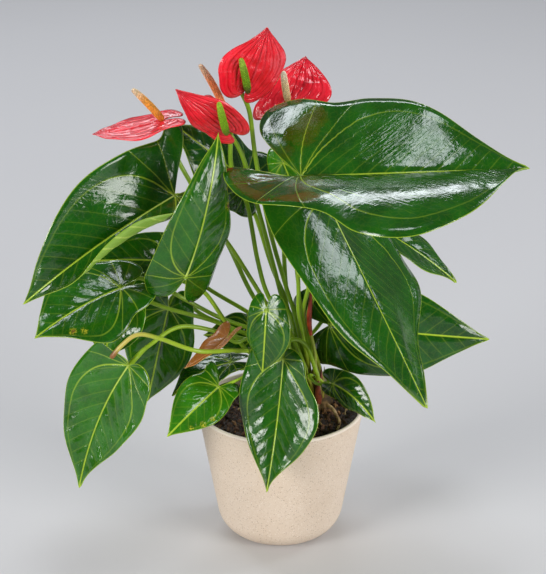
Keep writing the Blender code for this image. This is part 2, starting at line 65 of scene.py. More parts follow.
# Joint, tip, roll, arch up, bow sideways, left half and right half of each blade
leaves = namedBlades("leaf_%02d", [
    ((15, -50, 325), (182, -70, 338), -37, 9.5, 15,
     (73.5, 58, 27, -15, 5, 32, 0, 0.05), (73, 52.5, 26, -30, -25, 2, 1.3, 0.2)),
    ((34, -18, 296), (111, -95, 155), -36, 12.5, 12.5,
     (65, 24, -20, 5, 5, 2, 0.8, 0.1), (66, 4, 9, -18, 5, 0, -0.1, -0.05)),
    ((40, 12, 177), (166, -10, 174), 32, 12, -2.5,
     (38.5, 34, 8, -17, 5, 0, 0.2, 0), (39, 27.5, 3, -21, 22, 26, 0.2, 0)),
    ((41, -46, 152), (73, -76, 133), 38, 2, -4.5,
     (14, 14, 6, -17, 6, 0, 0.2, 0), (13, 13.5, -4, -27, 6, 6, 0.2, 0)),
    ((2, -62, 181), (-11, -90, 80), 14, -5, 0,
     (28.5, 12, 33, -23, 5, -5, 1.1, 0.1), (30.5, 13, 8, -12, 5, 0, 0.2, 0)),
    ((-11, -75, 227), (-14, -75, 176), 29, 4, -2.5,
     (19, 13, 2, -20, 0, 2, 0.3, 0), (18, 13.5, 2, -25, 9, 2, 0.3, 0)),
    ((-48, -62, 157), (-87, -94, 130), -6, 6, 0,
     (17.5, 17, 6, -16, 6, 10, 0.4, 0), (19, 16.5, 7, -10, 13, 30, 0.4, 0)),
    ((-116, -72, 180), (-158, -72, 74), 8, -4, 7.5,
     (33.5, 10.5, 20, -6, -5, 7, 0.2, 0), (33.5, 5.5, 12, -14, -22, -1, 0.2, 0)),
    ((-122, -50, 235), (-185, -84, 208), 23, 1.5, 2.5,
     (32, 23.5, 8, -29, 5, 3, 0.9, 0), (30.5, 23, 12, -9, 5, 0, 0.9, 0)),
    ((-88, -15, 203), (-107, -8, 118), 1, 1.5, 0,
     (26, 19.5, 15, -14, 1, 2, 0.2, 0.05), (28, 17.5, 14, -9, -2, 2, 0.2, 0.05)),
    ((-88, 8, 233), (-153, -10, 240), -11, 6, 1,
     (26, 15.5, 5, -14, 19, -9, -0.2, -0.1), (24, 18, 9, -13, 5, 0, -0.2, -0.1)),
    ((-71, -69, 252), (-46, -49, 359), 38, 15, -4.5,
     (34, 30.5, -2, -30, 15, 2, -0.6, -0.05), (30.5, 31.5, -11, -10, 0, 9, -0.1, -0.05)),
    ((-80, -37, 305), (-192, -87, 237), 0, 20, -3,
     (36, 24, 10, 115, 0, 0, 0.1, 0, 50), (48, 32, 20, 25, 7, 42, 0.1, -0.05)),
    ((-28, 26, 295), (-83, 7, 348), 21, 6, -4.5,
     (31, 24.5, 0, -29, 4, 11, 0.2, 0), (30, 27.5, 6, -11, -22, 30, 0.2, 0)),
    ((76, 41, 251), (143, 37, 203), -37, 4.5, 2.5,
     (25.5, 24, 8, -33, 5, 0, 0.3, 0.05), (26, 24, 11, 7, 5, 0, 0.3, 0.05)),
    ((-121, -28, 222), (-139, -36, 170), 0, 6, -1,
     (22, 20, 19, -6, 5, 0, 0.5, 0.05), (24, 22, 21, -7, 5, 0, 0.5, 0.05)),
    ((2, 16, 313), (19, 28, 267), 38, 2.5, -1,
     (14.5, 13.5, 21, 9, 5, 2, 0.4, 0), (14.5, 13.5, 5, -9, 7, 2, 0.4, 0)),
    ((-22, -11, 182), (-61, -22, 183), -8, 2.5, -1,
     (14.5, 11.5, 7, -15, 5, 0, 0.5, 0), (14, 11.5, 9, -12, 5, 0, 0.5, 0)),
    ((-39, -32, 164), (-85, -49, 143), 38, 4, 2.5,
     (15, 15.5, 10, -26, 5, 2, 1, 0.05), (17, 16, 3, -15, 5, 2, 1, 0.05)),
    ((-41, -52, 195), (-74, -68, 176), 38, 1.5, -5,
     (13.5, 13, 26, 8, 5, 0, -0.1, 0), (13.5, 13.5, 10, -6, -8, 13, -0.1, 0)),
])

spathes = namedBlades("flower_%d", [
    ((-90, -12, 356), (-142, -20, 348), 42, -1.5, -1.5,
     (26.5, 17, 6, 4, 13, 3, 0.3, 0.05), (26, 19.5, 1, -18, 15, 2, 0.3, 0.05)),
    ((-41, -22, 352), (-78, -36, 388), -50, 4, 2,
     (18.5, 20, -2, -30, 4, 2, 0, 0), (19.5, 16.5, 8, -9, 6, 2, 0, 0)),
    ((-26, -2, 378), (-10, -6, 427), 38, 1.5, 1,
     (27.5, 11, 7, -14, 5, -2, 0.3, 0.05), (28.5, 13, -3, -32, 5, -6, 0.3, 0.05)),
    ((6, 38, 356), (20, 63, 385), -16, 1.5, 1,
     (25, 21.5, 2, -7, 12, 29, -0.4, -0.05), (25.5, 14.5, 6, -22, 5, 0, 0.7, 0)),
    ((-46, 10, 359), (-64, -8, 368), 6, 1.5, -0.5,
     (11, 6.5, 4, -19, 5, 0, 0.2, 0), (11, 6.5, 2, -20, 5, 0, 0.2, 0)),
])

# Foot of each stalk on the crown, then the points that it passes.
routes = {
    "leaf_01": [(25, 14), [(16, -2, 191), (13, -6, 235), (8, -8, 276), (4, -15, 301), (5, -28, 313)]],
    "leaf_02": [(31, 14), [(19, 2, 184), (22, -6, 215), (27, -14, 252)]],
    "leaf_03": [(31, 25), [(21, 16, 157), (30, 24, 169), (36, 24, 177)]],
    "leaf_04": [(34, 9), [(23, -4, 140), (30, -26, 142)]],
    "leaf_05": [(31, 3), [(23, -12, 164), (15, -30, 182), (7, -48, 190)]],
    "leaf_06": [(25, 3), [(13, -12, 170), (3, -34, 201), (-5, -50, 220)]],
    "leaf_07": [(19, 3), [(4, -18, 158), (-15, -37, 163), (-32, -52, 159)]],
    "leaf_08": [(3, 9), [(-2, -16, 166), (-39, -36, 189), (-76, -48, 202), (-100, -60, 192)]],
    "leaf_09": [(10, 9), [(4, -10, 169), (-46, -22, 197), (-93, -32, 229), (-111, -36, 237)]],
    "leaf_10": [(3, 19), [(1, 8, 158), (-32, -2, 178), (-61, -2, 191), (-76, -4, 205)]],
    "leaf_11": [(7, 25), [(3, 12, 165), (-25, 12, 187), (-57, 14, 207), (-76, 18, 222)]],
    "leaf_12": [(7, 3), [(3, -11, 165), (-22, -23, 167), (-41, -34, 197), (-59, -41, 228)]],
    "leaf_13": [(10, 19), [(3, -5, 180), (-17, -14, 217), (-41, -22, 261), (-64, -26, 291)]],
    "leaf_14": [(13, 25), [(9, 16, 179), (-8, 22, 227), (-20, 30, 264)]],
    "leaf_15": [(34, 19), [(22, 12, 179), (30, 18, 205), (51, 24, 241)]],
    "leaf_16": [(0, 14), [(1, -8, 163), (-46, -25, 194), (-87, -32, 210), (-109, -30, 219)]],
    "leaf_17": [(25, 25), [(18, 22, 178), (12, 32, 223), (8, 33, 276)]],
    "leaf_18": [(7, 14), [(3, 0, 158), (-10, -6, 173)]],
    "leaf_19": [(16, 9), [(5, -14, 151), (-15, -25, 154), (-28, -28, 157)]],
    "leaf_20": [(13, 3), [(6, -17, 163), (-19, -40, 189)]],
    "flower_1": [(13, 14), [(6, 0, 173), (-20, -9, 208), (-42, -12, 258), (-65, -10, 298), (-81, -8, 329)]],
    "flower_2": [(19, 14), [(9, -4, 171), (-9, -14, 210), (-18, -12, 243), (-26, -4, 286), (-38, 3, 314)]],
    "flower_3": [(22, 19), [(15, 4, 176), (3, 8, 217), (-8, 12, 257), (-19, 14, 315), (-24, 16, 354)]],
    "flower_4": [(19, 25), [(14, 16, 179), (5, 24, 202), (2, 32, 259), (0, 40, 311)]],
    "flower_5": [(16, 19), [(11, 10, 177), (0, 16, 205), (-15, 18, 264), (-31, 18, 321)]],
    "cut_petiole": [(22, 9), [(-1, -26, 167), (-33, -60, 187), (-62, -89, 200),
        (-91, -88, 210), (-107, -90, 214), (-119, -92, 206), (-127, -92, 196)]],
    "young_shoot": [(28, 9), [(27, 8, 150), (22, 0, 186), (24, -2, 214)]],
}

spadixReach = {
    "flower_1": (-19, -4, 22),
    "flower_2": (-4, -15, 24),
    "flower_3": (-4, -11, 24),
    "flower_4": (-3, -7, 22),
    "flower_5": (-14, -7, 29),
}

seatSpaces = {
    "leaf_01": 0.5, "leaf_03": 1.0, "leaf_05": 0.1, "leaf_06": 1.0, "leaf_07": 0.5, "leaf_08": -0.1,
    "leaf_11": 1.2, "leaf_12": 1.4, "leaf_13": 0.9, "leaf_14": 1.2, "leaf_16": 1.0,
    "flower_1": 0.2, "flower_2": 1.1, "flower_3": 1.0, "flower_5": 1.0,
}

smallLeaves = {"leaf_04", "leaf_06", "leaf_07", "leaf_17", "leaf_18", "leaf_19", "leaf_20"}
facing = np.array([0, -math.cos(math.radians(40)), math.sin(math.radians(40))])


def unit(v):
    v = np.asarray(v, float)
    return v / np.maximum(np.linalg.norm(v, axis=-1, keepdims=True), 1e-9)


def smoothCurve(points, count, steps=12):  # Catmull-Rom, read off at even spaces
    p = np.asarray(points, float)
    p = np.vstack([2 * p[0] - p[1], p, 2 * p[-1] - p[-2]])
    t = np.linspace(0, 1, steps, endpoint=False)[:, None]
    pieces = []
    for a, b, c, d in zip(p, p[1:], p[2:], p[3:]):
        square = 2 * a - 5 * b + 4 * c - d
        cube = 3 * b - a - 3 * c + d
        pieces.append(0.5 * (2 * b + (c - a) * t + square * t**2 + cube * t**3))
    curve = np.vstack(pieces + [p[-2:-1]])
    run = runAlong(curve)
    at = np.linspace(0, run[-1], count)
    return np.stack([np.interp(at, run, curve[:, i]) for i in range(curve.shape[1])], -1)


def runAlong(points):  # length of the line up to each point
    return np.concatenate([[0], np.cumsum(np.linalg.norm(np.diff(points, axis=0), axis=1))])


def bladeAxes(blade):
    joint = np.array(blade.joint, float)
    along = np.array(blade.tip, float) - joint
    length = np.linalg.norm(along)
    along /= length
    up = unit(facing - along * (facing @ along))
    roll = math.radians(blade.roll)
    up = up * math.cos(roll) + np.cross(along, up) * math.sin(roll)
    return joint, length, along, up, np.cross(along, up)


def halfMargin(half, length, count):
    splay = math.tan(math.radians(half.splay))
    points = []
    for a, c in lobeOutline:
        points.append((a * half.lobe + half.belly * length * c / 2, c * half.width - a * half.lobe * splay))
    for a, c in bodyOutline:
        fuller = 1 + 1.4 * half.full * a * (1 - a)
        points.append(((a + half.belly * (1 - a)) * length, c * half.width * fuller))
    return smoothCurve(points, count)


def onBlade(blade, half, hand, flat):  # bends flat (along, across) places into shape
    joint, length, along, up, side = bladeAxes(blade)
    u, v = flat[..., 0], flat[..., 1]
    t = np.maximum(u, 0) / length
    rise = (4 * t * (1 - t))[..., None]
    slope = (4 * (1 - 2 * t))[..., None]
    rib = joint + np.maximum(u, 0)[..., None] * along + blade.arch * rise * up + blade.bow * rise * side
    ahead = unit(along * length + blade.arch * slope * up + blade.bow * slope * side)
    across = unit(side - ahead * (ahead @ side)[..., None])
    above = unit(np.cross(across, ahead))
    behind = np.maximum(-u, 0)
    droop = np.radians(half.droop) * np.clip(behind / max(half.lobe, 1), 0, 1.5)
    rib = rib - ahead * (behind * np.cos(droop))[..., None] - above * (behind * np.sin(droop))[..., None]
    ease = np.clip((u / length + 0.05) / 0.4, 0, 1)
    ease = ease * ease * (3 - 2 * ease)
    start = half.curl if half.lobeCurl is None else half.lobeCurl
    curl = np.radians(start + (half.curl - start) * ease)
    curl = np.where(np.abs(curl) < 1e-3, 1e-3, curl)
    fold = math.radians(half.fold)
    out = half.width / curl * (np.sin(fold + curl * v / half.width) - math.sin(fold))
    lift = half.width / curl * (math.cos(fold) - np.cos(fold + curl * v / half.width))
    return rib + across * (hand * out)[..., None] + above * lift[..., None]


stalkLook = {
    "petioleRadius": 1.8, "smallPetioleRadius": 1.3, "flowerStalkRadius": 1.9,
    "seatSpace": 0.7, "jointLean": 30, "crownTop": 113, "straightStart": 14,
    "samples": 49, "spreadRounds": 200, "spreadSpace": 1.5, "spreadRate": 0.8,
    "freeFrom": 0.06, "freeTo": 0.1, "sides": 14, "rings": 97,
}


def seatOnBlade(blade, radius, thickness):
    joint, _, along, up, _ = bladeAxes(blade)
    lean = math.radians(stalkLook["jointLean"])
    space = seatSpaces.get(blade.name, stalkLook["seatSpace"])
    end = joint - up * (thickness / 2 + space + radius * math.sin(lean))
    return end, end - 10 * (up * math.cos(lean) + along * math.sin(lean))


def spreadApart(lines, radii):  # pushes stalks aside where they would touch
    names = list(lines)
    points = np.stack([lines[name] for name in names])
    radius = np.array([radii[name] for name in names])
    owner = np.repeat(np.arange(len(names)), points.shape[1])
    need = radius[owner][:, None] + radius[owner][None, :] + stalkLook["spreadSpace"]
    need[owner[:, None] == owner[None, :]] = 0
    place = np.linspace(0, 1, points.shape[1])
    free = np.minimum(place / stalkLook["freeFrom"], (1 - place) / stalkLook["freeTo"])
    free = np.clip(free, 0, 1)[None, :, None]
    for _ in range(stalkLook["spreadRounds"]):
        flat = points.reshape(-1, 3)
        square = (flat**2).sum(1)
        apart = np.sqrt(np.maximum(square[:, None] + square[None, :] - 2 * flat @ flat.T, 1e-6))
        push = np.where(apart < need, (need - apart) / apart, 0)
        move = (push.sum(1)[:, None] * flat - push @ flat) / np.maximum((push > 0).sum(1), 1)[:, None]
        move = move.reshape(points.shape) * free * stalkLook["spreadRate"]
        for _ in range(3):
            move[:, 1:-1] = (move[:, :-2] + 2 * move[:, 1:-1] + move[:, 2:]) / 4
        points = points + move
    return dict(zip(names, points))


def stalkRoutes():
    ends, radii = {}, {"cut_petiole": stalkLook["petioleRadius"], "young_shoot": stalkLook["petioleRadius"]}
    for blade in leaves + spathes:
        kind = "smallPetioleRadius" if blade.name in smallLeaves else "petioleRadius"
        kind = "flowerStalkRadius" if blade in spathes else kind
        radii[blade.name] = stalkLook[kind]
        thickness = spatheThickness if blade in spathes else bladeThickness
        ends[blade.name] = seatOnBlade(blade, radii[blade.name], thickness)
    lines = {}
    for name, (foot, passes) in routes.items():
        start = np.array([*foot, stalkLook["crownTop"] + gap])
        points = [start, start + (0, 0, stalkLook["straightStart"]), *passes]
        if name in ends:
            end, before = ends[name]
            points += [before, end]
        lines[name] = smoothCurve(points, stalkLook["samples"])
    return spreadApart(lines, radii), radii


class Value:  # a node's output, which can take part in sums
    def __init__(self, nodes, socket):
        self.nodes = nodes
        self.socket = socket

    def other(self, key):  # another output of the same node
        return Value(self.nodes, self.socket.node.outputs[key])

    def math(self, operation, second=0.0):
        return self.nodes.add("ShaderNodeMath", {0: self, 1: second}, operation=operation)

    def vector(self, operation, second=(0, 0, 0)):
        key = "Scale" if operation == "SCALE" else 1
        return self.nodes.add("ShaderNodeVectorMath", {0: self, key: second}, operation=operation)

    def ramp(self, low, high, outLow=0.0, outHigh=1.0, kind="SMOOTHSTEP"):
        links = {0: self, 1: low, 2: high, 3: outLow, 4: outHigh}
        return self.nodes.add("ShaderNodeMapRange", links, interpolation_type=kind)


for symbol, operation in (("add", "ADD"), ("sub", "SUBTRACT"), ("mul", "MULTIPLY"), ("truediv", "DIVIDE"),
                          ("pow", "POWER"), ("abs", "ABSOLUTE"), ("round", "ROUND")):
    setattr(Value, "__%s__" % symbol, partialmethod(Value.math, operation))


class Nodes:  # a node tree being written
    def __init__(self, tree):
        self.tree = tree

    def feed(self, socket, value):
        if isinstance(value, Value):
            self.tree.links.new(value.socket, socket)
        else:
            socket.default_value = value

    def add(self, kind, links=None, out=0, **settings):
        node = self.tree.nodes.new(kind)
        for key, value in settings.items():
            setattr(node, key, value)
        for key, value in (links or {}).items():
            self.feed(node.inputs[key], value)
        return Value(self, node.outputs[out]) if len(node.outputs) else None


def hexColour(code):  # sRGB hex to linear
    parts = [int(code[i:i + 2], 16) / 255 for i in (1, 3, 5)]
    return (*[c / 12.92 if c <= 0.04045 else ((c + 0.055) / 1.055) ** 2.4 for c in parts], 1)


class Finish(Nodes):  # a material being written
    def __init__(self, name):
        self.made = bpy.data.materials.new(name)
        self.made.use_nodes = True
        super().__init__(self.made.node_tree)
        self.place = self.add("ShaderNodeTexCoord", out="Object")

    def tag(self, name):
        return self.add("ShaderNodeAttribute", out="Fac", attribute_name=name)

    def mix(self, share, first, second):
        first, second = [hexColour(c) if isinstance(c, str) else c for c in (first, second)]
        return self.add("ShaderNodeMix", {0: share, 6: first, 7: second}, 2, data_type="RGBA")

    def noise(self, size, detail=2.0, rough=0.5, at=None):  # size is the grain in mm
        links = {"Vector": at or self.place, "Scale": 1 / (size * mm), "Detail": detail, "Roughness": rough}
        return self.add("ShaderNodeTexNoise", links)

    def cells(self, scale, at=None, **settings):
        return self.add("ShaderNodeTexVoronoi", {"Vector": at or self.place, "Scale": scale}, **settings)

    def bumps(self, *layers):  # (height, distance in mm, strength), the coarse one first
        normal = None
        for height, distance, strength in layers:
            links = {"Height": height, "Distance": distance * mm, "Strength": strength}
            if normal:
                links["Normal"] = normal
            normal = self.add("ShaderNodeBump", links)
        return normal

    def shade(self, colour, roughness, normal=None, others=None):
        inputs = {"Base Color": colour, "Roughness": roughness, **(others or {})}
        if normal:
            inputs["Normal"] = normal
        for key, value in inputs.items():
            self.feed(self.tree.nodes["Principled BSDF"].inputs[key], value)
        return self.made


def linked(name, data):
    made = bpy.data.objects.new(name, data)
    bpy.context.scene.collection.objects.link(made)
    return made


def meshObject(name, points, faces, materials, tags=None, uv=None):
    mesh = bpy.data.meshes.new(name)
    mesh.from_pydata([tuple(p) for p in np.asarray(points) * mm], [], faces)
    for finish in materials:
        mesh.materials.append(finish)
    mesh.shade_smooth()
    for key, values in (tags or {}).items():
        mesh.attributes.new(key, "FLOAT", "POINT").data.foreach_set("value", np.asarray(values, np.float32))
    if uv is not None:
        layer = mesh.uv_layers.new(name="flat")
        corners = np.zeros(len(mesh.loops), int)
        mesh.loops.foreach_get("vertex_index", corners)
        layer.data.foreach_set("uv", np.asarray(uv, np.float32)[corners].ravel())
    mesh.update()
    return linked(name, mesh)


def hand(piece, node, finishSlot):
    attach(piece, "root")
    if node:
        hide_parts(node)


def ringFaces(rings, steps):
    # quads from ring to ring, then fans to the two end points, which come after the rings
    around = [(j, (j + 1) % steps) for j in range(steps)]
    faces = []
    for i in range(0, (rings - 1) * steps, steps):
        faces += [(i + j, i + k, i + steps + k, i + steps + j) for j, k in around]
    last = (rings - 1) * steps
    for j, k in around:
        faces += [(k, j, last + steps), (last + j, last + k, last + steps + 1)]
    return faces


def sweep(points, radii, sides, hint=(0, 0, 1)):
    # a closed round bar along the points: vertices, faces, share along and share round
    points = np.asarray(points, float)
    ahead = unit(np.gradient(points, axis=0))
    out = np.asarray(hint, float) - ahead[0] * (ahead[0] @ np.asarray(hint, float))
    if np.linalg.norm(out) < 0.05:
        out = np.cross(ahead[0], (1.0, 0.2, 0.1))
    out = unit(out)
    rings, turn = [], np.linspace(0, 2 * math.pi, sides, endpoint=False)
    for point, way, radius in zip(points, ahead, np.broadcast_to(radii, len(points))):
        out = unit(out - way * (way @ out))
        ring = np.outer(np.cos(turn), out) + np.outer(np.sin(turn), np.cross(way, out))
        rings.append(point + ring * radius)
    count = len(points)
    verts = np.vstack(rings + [points[:1], points[-1:]])
    share = np.append(np.repeat(np.linspace(0, 1, count), sides), [0, 1])
    around = np.append(np.tile(turn / (2 * math.pi), count), [0, 0])
    return verts, ringFaces(count, sides), share, around


def turned(profile, steps):
    # a closed solid turned about Z from an (r, z) profile that starts and ends on the axis
    profile = np.asarray(profile, float)
    turn = np.linspace(0, 2 * math.pi, steps, endpoint=False)
    rings = [np.stack([r * np.cos(turn), r * np.sin(turn), np.full(steps, z)], -1) for r, z in profile[1:-1]]
    verts = np.vstack(rings + [[(0, 0, profile[0][1])], [(0, 0, profile[-1][1])]])
    faces = ringFaces(len(rings), steps)
    return verts, [face[::-1] if len(face) == 3 else (face[0], *face[:0:-1]) for face in faces]


def joined(parts):  # (verts, faces, tags) parts into one
    verts, faces, tags, start = [], [], {}, 0
    for points, quads, values in parts:
        verts.append(points)
        faces += [tuple(int(i) + start for i in quad) for quad in quads]
        for key, value in values.items():
            tags.setdefault(key, []).append(np.broadcast_to(value, len(points)))
        start += len(points)
    return np.vstack(verts), faces, {key: np.concatenate(value) for key, value in tags.items()}


# Leaves and spathes
bladeLook = {
    "rows": 92, "columns": 15, "crowding": 1.35, "rowSweep": 1.7, "wave": 0.012,
    "leafQuilt": 0.48, "leafPucker": 0.13, "leafSag": 1.1, "ribGroove": 0.5, "archGroove": 0.5,
    "spatheCorrugation": 0.85, "spathePucker": 0.3, "spatheGroove": 0.3, "spatheLines": 4,
    "veinSpacing": 13.5, "ribRadius": 1.25,
}

# Side veins: their angle to the midrib, forward sweep, angle between the basal veins of the fan
# and their strengths, the share of the midrib that bears side veins, and how soon and how far out
# the vein along the margin runs.
veinLook = {
    "angle": 47, "forward": 0.45, "fan": 29, "fanWeights": [0.2, 0.6, 0.8, 0.35, 0.15],
    "sideWeight": 0.18, "reach": 0.9, "archRise": 0.13, "archPlace": 0.84,
}

# How young a blade looks: 0 old and dark, 1 fresh and bright.
freshness = {
    "leaf_01": 0.26, "leaf_02": 0.25, "leaf_03": 0.15, "leaf_04": 0.15, "leaf_05": 0.3,
    "leaf_06": 0.3, "leaf_07": 0.75, "leaf_08": 0.6, "leaf_09": 0.3, "leaf_10": 0.5,
    "leaf_11": 0.2, "leaf_12": 0.35, "leaf_13": 0.2, "leaf_14": 0.05, "leaf_15": 0.2,
    "leaf_16": 0.8, "leaf_17": 1.0, "leaf_18": 0.05, "leaf_19": 0.2, "leaf_20": 0.5,
}

# Blemishes: place along and across as shares of length and half width, size in mm, and tone:
# 0 yellow speckle, 1 dry brown patch.
blemishes = {
    "leaf_01": [(0.5, 0.03, 2.6, 1)],
    "leaf_04": [(0.02, 0.0, 1.2, 1)],
    "leaf_07": [(0.55, -0.75, 2.6, 0), (0.7, -0.5, 2.0, 0), (0.4, -0.85, 2.2, 0)],
    "leaf_09": [(0.67, -0.53, 3.4, 1), (0.57, -0.68, 3.0, 0)],
    "leaf_12": [(0.54, 0.76, 4.6, 1), (0.66, 0.62, 3.0, 1), (0.74, 0.5, 2.4, 1)],
}


def cellRandom(cell, seed):  # the same pseudo-random share for the same cell
    return np.mod(np.sin(cell * 12.9898 + seed * 78.233) * 43758.5453, 1.0)


def veinField(flat, length, count):
    # side veins leave the midrib at an angle and sweep forward; behind the first of them a fan of
    # basal veins spreads from the joint into the lobe. A vein lies at every whole phase.
    u, v = flat[..., 0], flat[..., 1]
    look = veinLook
    angle, fan = math.radians(look["angle"]), math.radians(look["fan"])
    bendBy = look["forward"] * v**2 / length
    start = u - v / math.tan(angle) - bendBy
    pitch = length * look["reach"] / count
    behind = start < 0
    phase = np.where(behind, (angle - np.arctan2(v, u - bendBy)) / fan, start / pitch)
    radius = np.hypot(u, v)
    spacing = np.where(behind, radius * fan, pitch * math.sin(angle))
    run = np.where(behind, radius, v / math.sin(angle))
    number = np.clip(np.round(-phase), 0, len(look["fanWeights"]) - 1).astype(int)
    basal = np.clip(1.15 - radius / length, 0, 1) * np.array(look["fanWeights"])[number]
    side = np.clip(1 - 0.9 * v / (0.45 * length), 0.1, 1) * look["sideWeight"]
    return phase, np.maximum(spacing, 0.3), run, np.where(phase < 0.5, basal, side)


def fromArch(flat, margin, length):
    # signed mm to the vein that leaves the joint sideways and then follows the margin to the tip
    widest = int(np.argmin(margin[:, 0]))

    def archAt(u):
        rise = 1 - np.exp(-np.maximum(u, 0) / (veinLook["archRise"] * length))
        return veinLook["archPlace"] * rise * np.interp(u, margin[widest:, 0], margin[widest:, 1])

    u, v = flat[..., 0], flat[..., 1]
    slope = archAt(u + 1) - archAt(u)
    return np.where(u > 0, (v - archAt(u)) / np.hypot(1, slope), np.hypot(u, v))


def fromLine(places, line):  # mm to the nearest point of a line
    nearest = np.full(places.shape[:-1], 1e9)
    for a, b in zip(line, line[1:]):
        piece = b - a
        at = np.clip(((places - a) @ piece) / max(piece @ piece, 1e-9), 0, 1)
        nearest = np.minimum(nearest, np.linalg.norm(places - a - at[..., None] * piece, axis=-1))
    return nearest


def bladeSurface(blade, leafy, seed):
    # both halves as grids, rows from the joint to the tip and columns from margin to margin
    look = bladeLook
    length = bladeAxes(blade)[1]
    share = np.linspace(0, 1, look["rows"] + 1)
    step = np.linspace(0, 1, look["columns"] + 1) ** look["crowding"]
    rib = (length * share ** look["rowSweep"])[:, None]
    veinCount = round(min(13, max(6, length / look["veinSpacing"])))
    sheets = []
    for half, side in ((blade.left, -1), (blade.right, 1)):
        margin = halfMargin(half, length, look["rows"] + 1)
        flat = np.stack([rib + (margin[:, :1] - rib) * step, margin[:, 1:] * step], -1)
        p, t = np.broadcast_arrays(share[:, None], step[None, :])
        phase, spacing, run, weight = veinField(flat, length, veinCount)
        nearest = fromLine(flat, margin)
        ribDistance = np.hypot(flat[..., 1], np.minimum(flat[..., 0], 0))
        archDistance = fromArch(flat, margin, length)
        swing = cellRandom(np.floor(phase) + (50 if side > 0 else 0), seed) * 6.28
        if leafy:
            between = np.abs(np.sin(math.pi * phase))
            inside = np.clip(nearest / 5, 0, 1) * np.clip(ribDistance / 4, 0, 1)
            size = np.clip(spacing / 9, 0.15, 1.15)
            ripple = np.sin(run / 1.3 + swing) + 0.8 * np.sin(run / 2.9 + 2 * swing + 3 * phase)
            swell = np.sin(8 * p + 2.1 * seed) * np.sin(5.5 * t + 1.3 * seed + side)
            relief = look["leafQuilt"] * size * inside * (between**0.8 - 0.5)
            relief += look["leafPucker"] * inside * between * ripple * size
            relief += look["leafSag"] * inside * swell * length / 150
            relief -= look["ribGroove"] * np.exp(-(ribDistance / 1.3) ** 2)
            relief -= look["archGroove"] * inside * np.exp(-(archDistance / 1.8) ** 2)
        else:
            line = look["spatheLines"] * t**0.9
            lines = np.abs(np.sin(math.pi * line))
            inside = np.clip(nearest / 2.5, 0, 1) * np.clip(p / 0.1, 0, 1) * np.clip((1 - p) / 0.12, 0, 1)
            ripple = np.sin(p * 26 + swing + 2.2 * np.floor(line)) + 0.6 * np.sin(p * 47 + 4 * t + swing)
            relief = look["spatheCorrugation"] * inside * (lines**0.8 - 0.5)
            relief += look["spathePucker"] * inside * lines * ripple
            relief -= look["spatheGroove"] * np.exp(-(ribDistance / 0.9) ** 2)
        wave = look["wave"] * length * t**4 * np.sin(2 * math.pi * (3.3 * p + seed * 0.37 + 0.2 * side))
        sheets.append({
            "solid": onBlade(blade, half, side, flat), "relief": relief + wave * np.clip(p / 0.1, 0, 1),
            "flat": flat * (1, side), "veinPhase": phase, "veinSpacing": spacing, "veinWeight": weight,
            "ribDistance": ribDistance, "archDistance": archDistance, "edgeDistance": nearest,
            "along": p, "across": t,
        })
    left, right = sheets
    return {key: np.concatenate([left[key][:, :0:-1], right[key]], axis=1) for key in left}


def bladeNormals(solid, up):
    normal = np.cross(np.gradient(solid, axis=1), np.gradient(solid, axis=0))
    normal[0] = normal[-1] = 0
    normal = unit(normal)
    normal[0] = up
    normal[-1] = unit(normal[-2].sum(0))
    for _ in range(2):
        normal[1:-1] = unit(normal[:-2] + 2 * normal[1:-1] + normal[2:])
    return normal


def bladeFaces(rowCount, width):
    # upper skin, under skin and edge; the first and last rows are one point each
    grid = np.arange((rowCount - 2) * width).reshape(rowCount - 2, width) + 2
    upper, edge, shift = [], [], 2 + grid.size
    for j in range(width - 1):
        upper.append((0, grid[0, j + 1], grid[0, j]))
        for i in range(rowCount - 3):
            upper.append((grid[i, j], grid[i, j + 1], grid[i + 1, j + 1], grid[i + 1, j]))
        upper.append((grid[-1, j], grid[-1, j + 1], 1))
    under = [tuple(i + shift for i in reversed(face)) for face in upper]
    for side, turn in ((grid[:, 0], 1), (grid[:, -1], -1)):
        line = [0, *side, 1]
        edge += [(a, b, b + shift, a + shift)[::turn] for a, b in zip(line, line[1:])]
    return upper, under, edge


def bladeSpots(blade, flat, length):  # shares of a blemish's size away from it, and its tone
    spot = np.full(flat.shape[:2], 9.0)
    tone = np.zeros(flat.shape[:2])
    for along, across, size, kind in blemishes.get(blade.name, []):
        width = (blade.left if across < 0 else blade.right).width
        away = np.hypot(flat[..., 0] - along * length, flat[..., 1] - across * width) / size
        tone = np.where(away < spot, kind, tone)
        spot = np.minimum(spot, away)
    return {"spot": spot, "spotTone": tone}


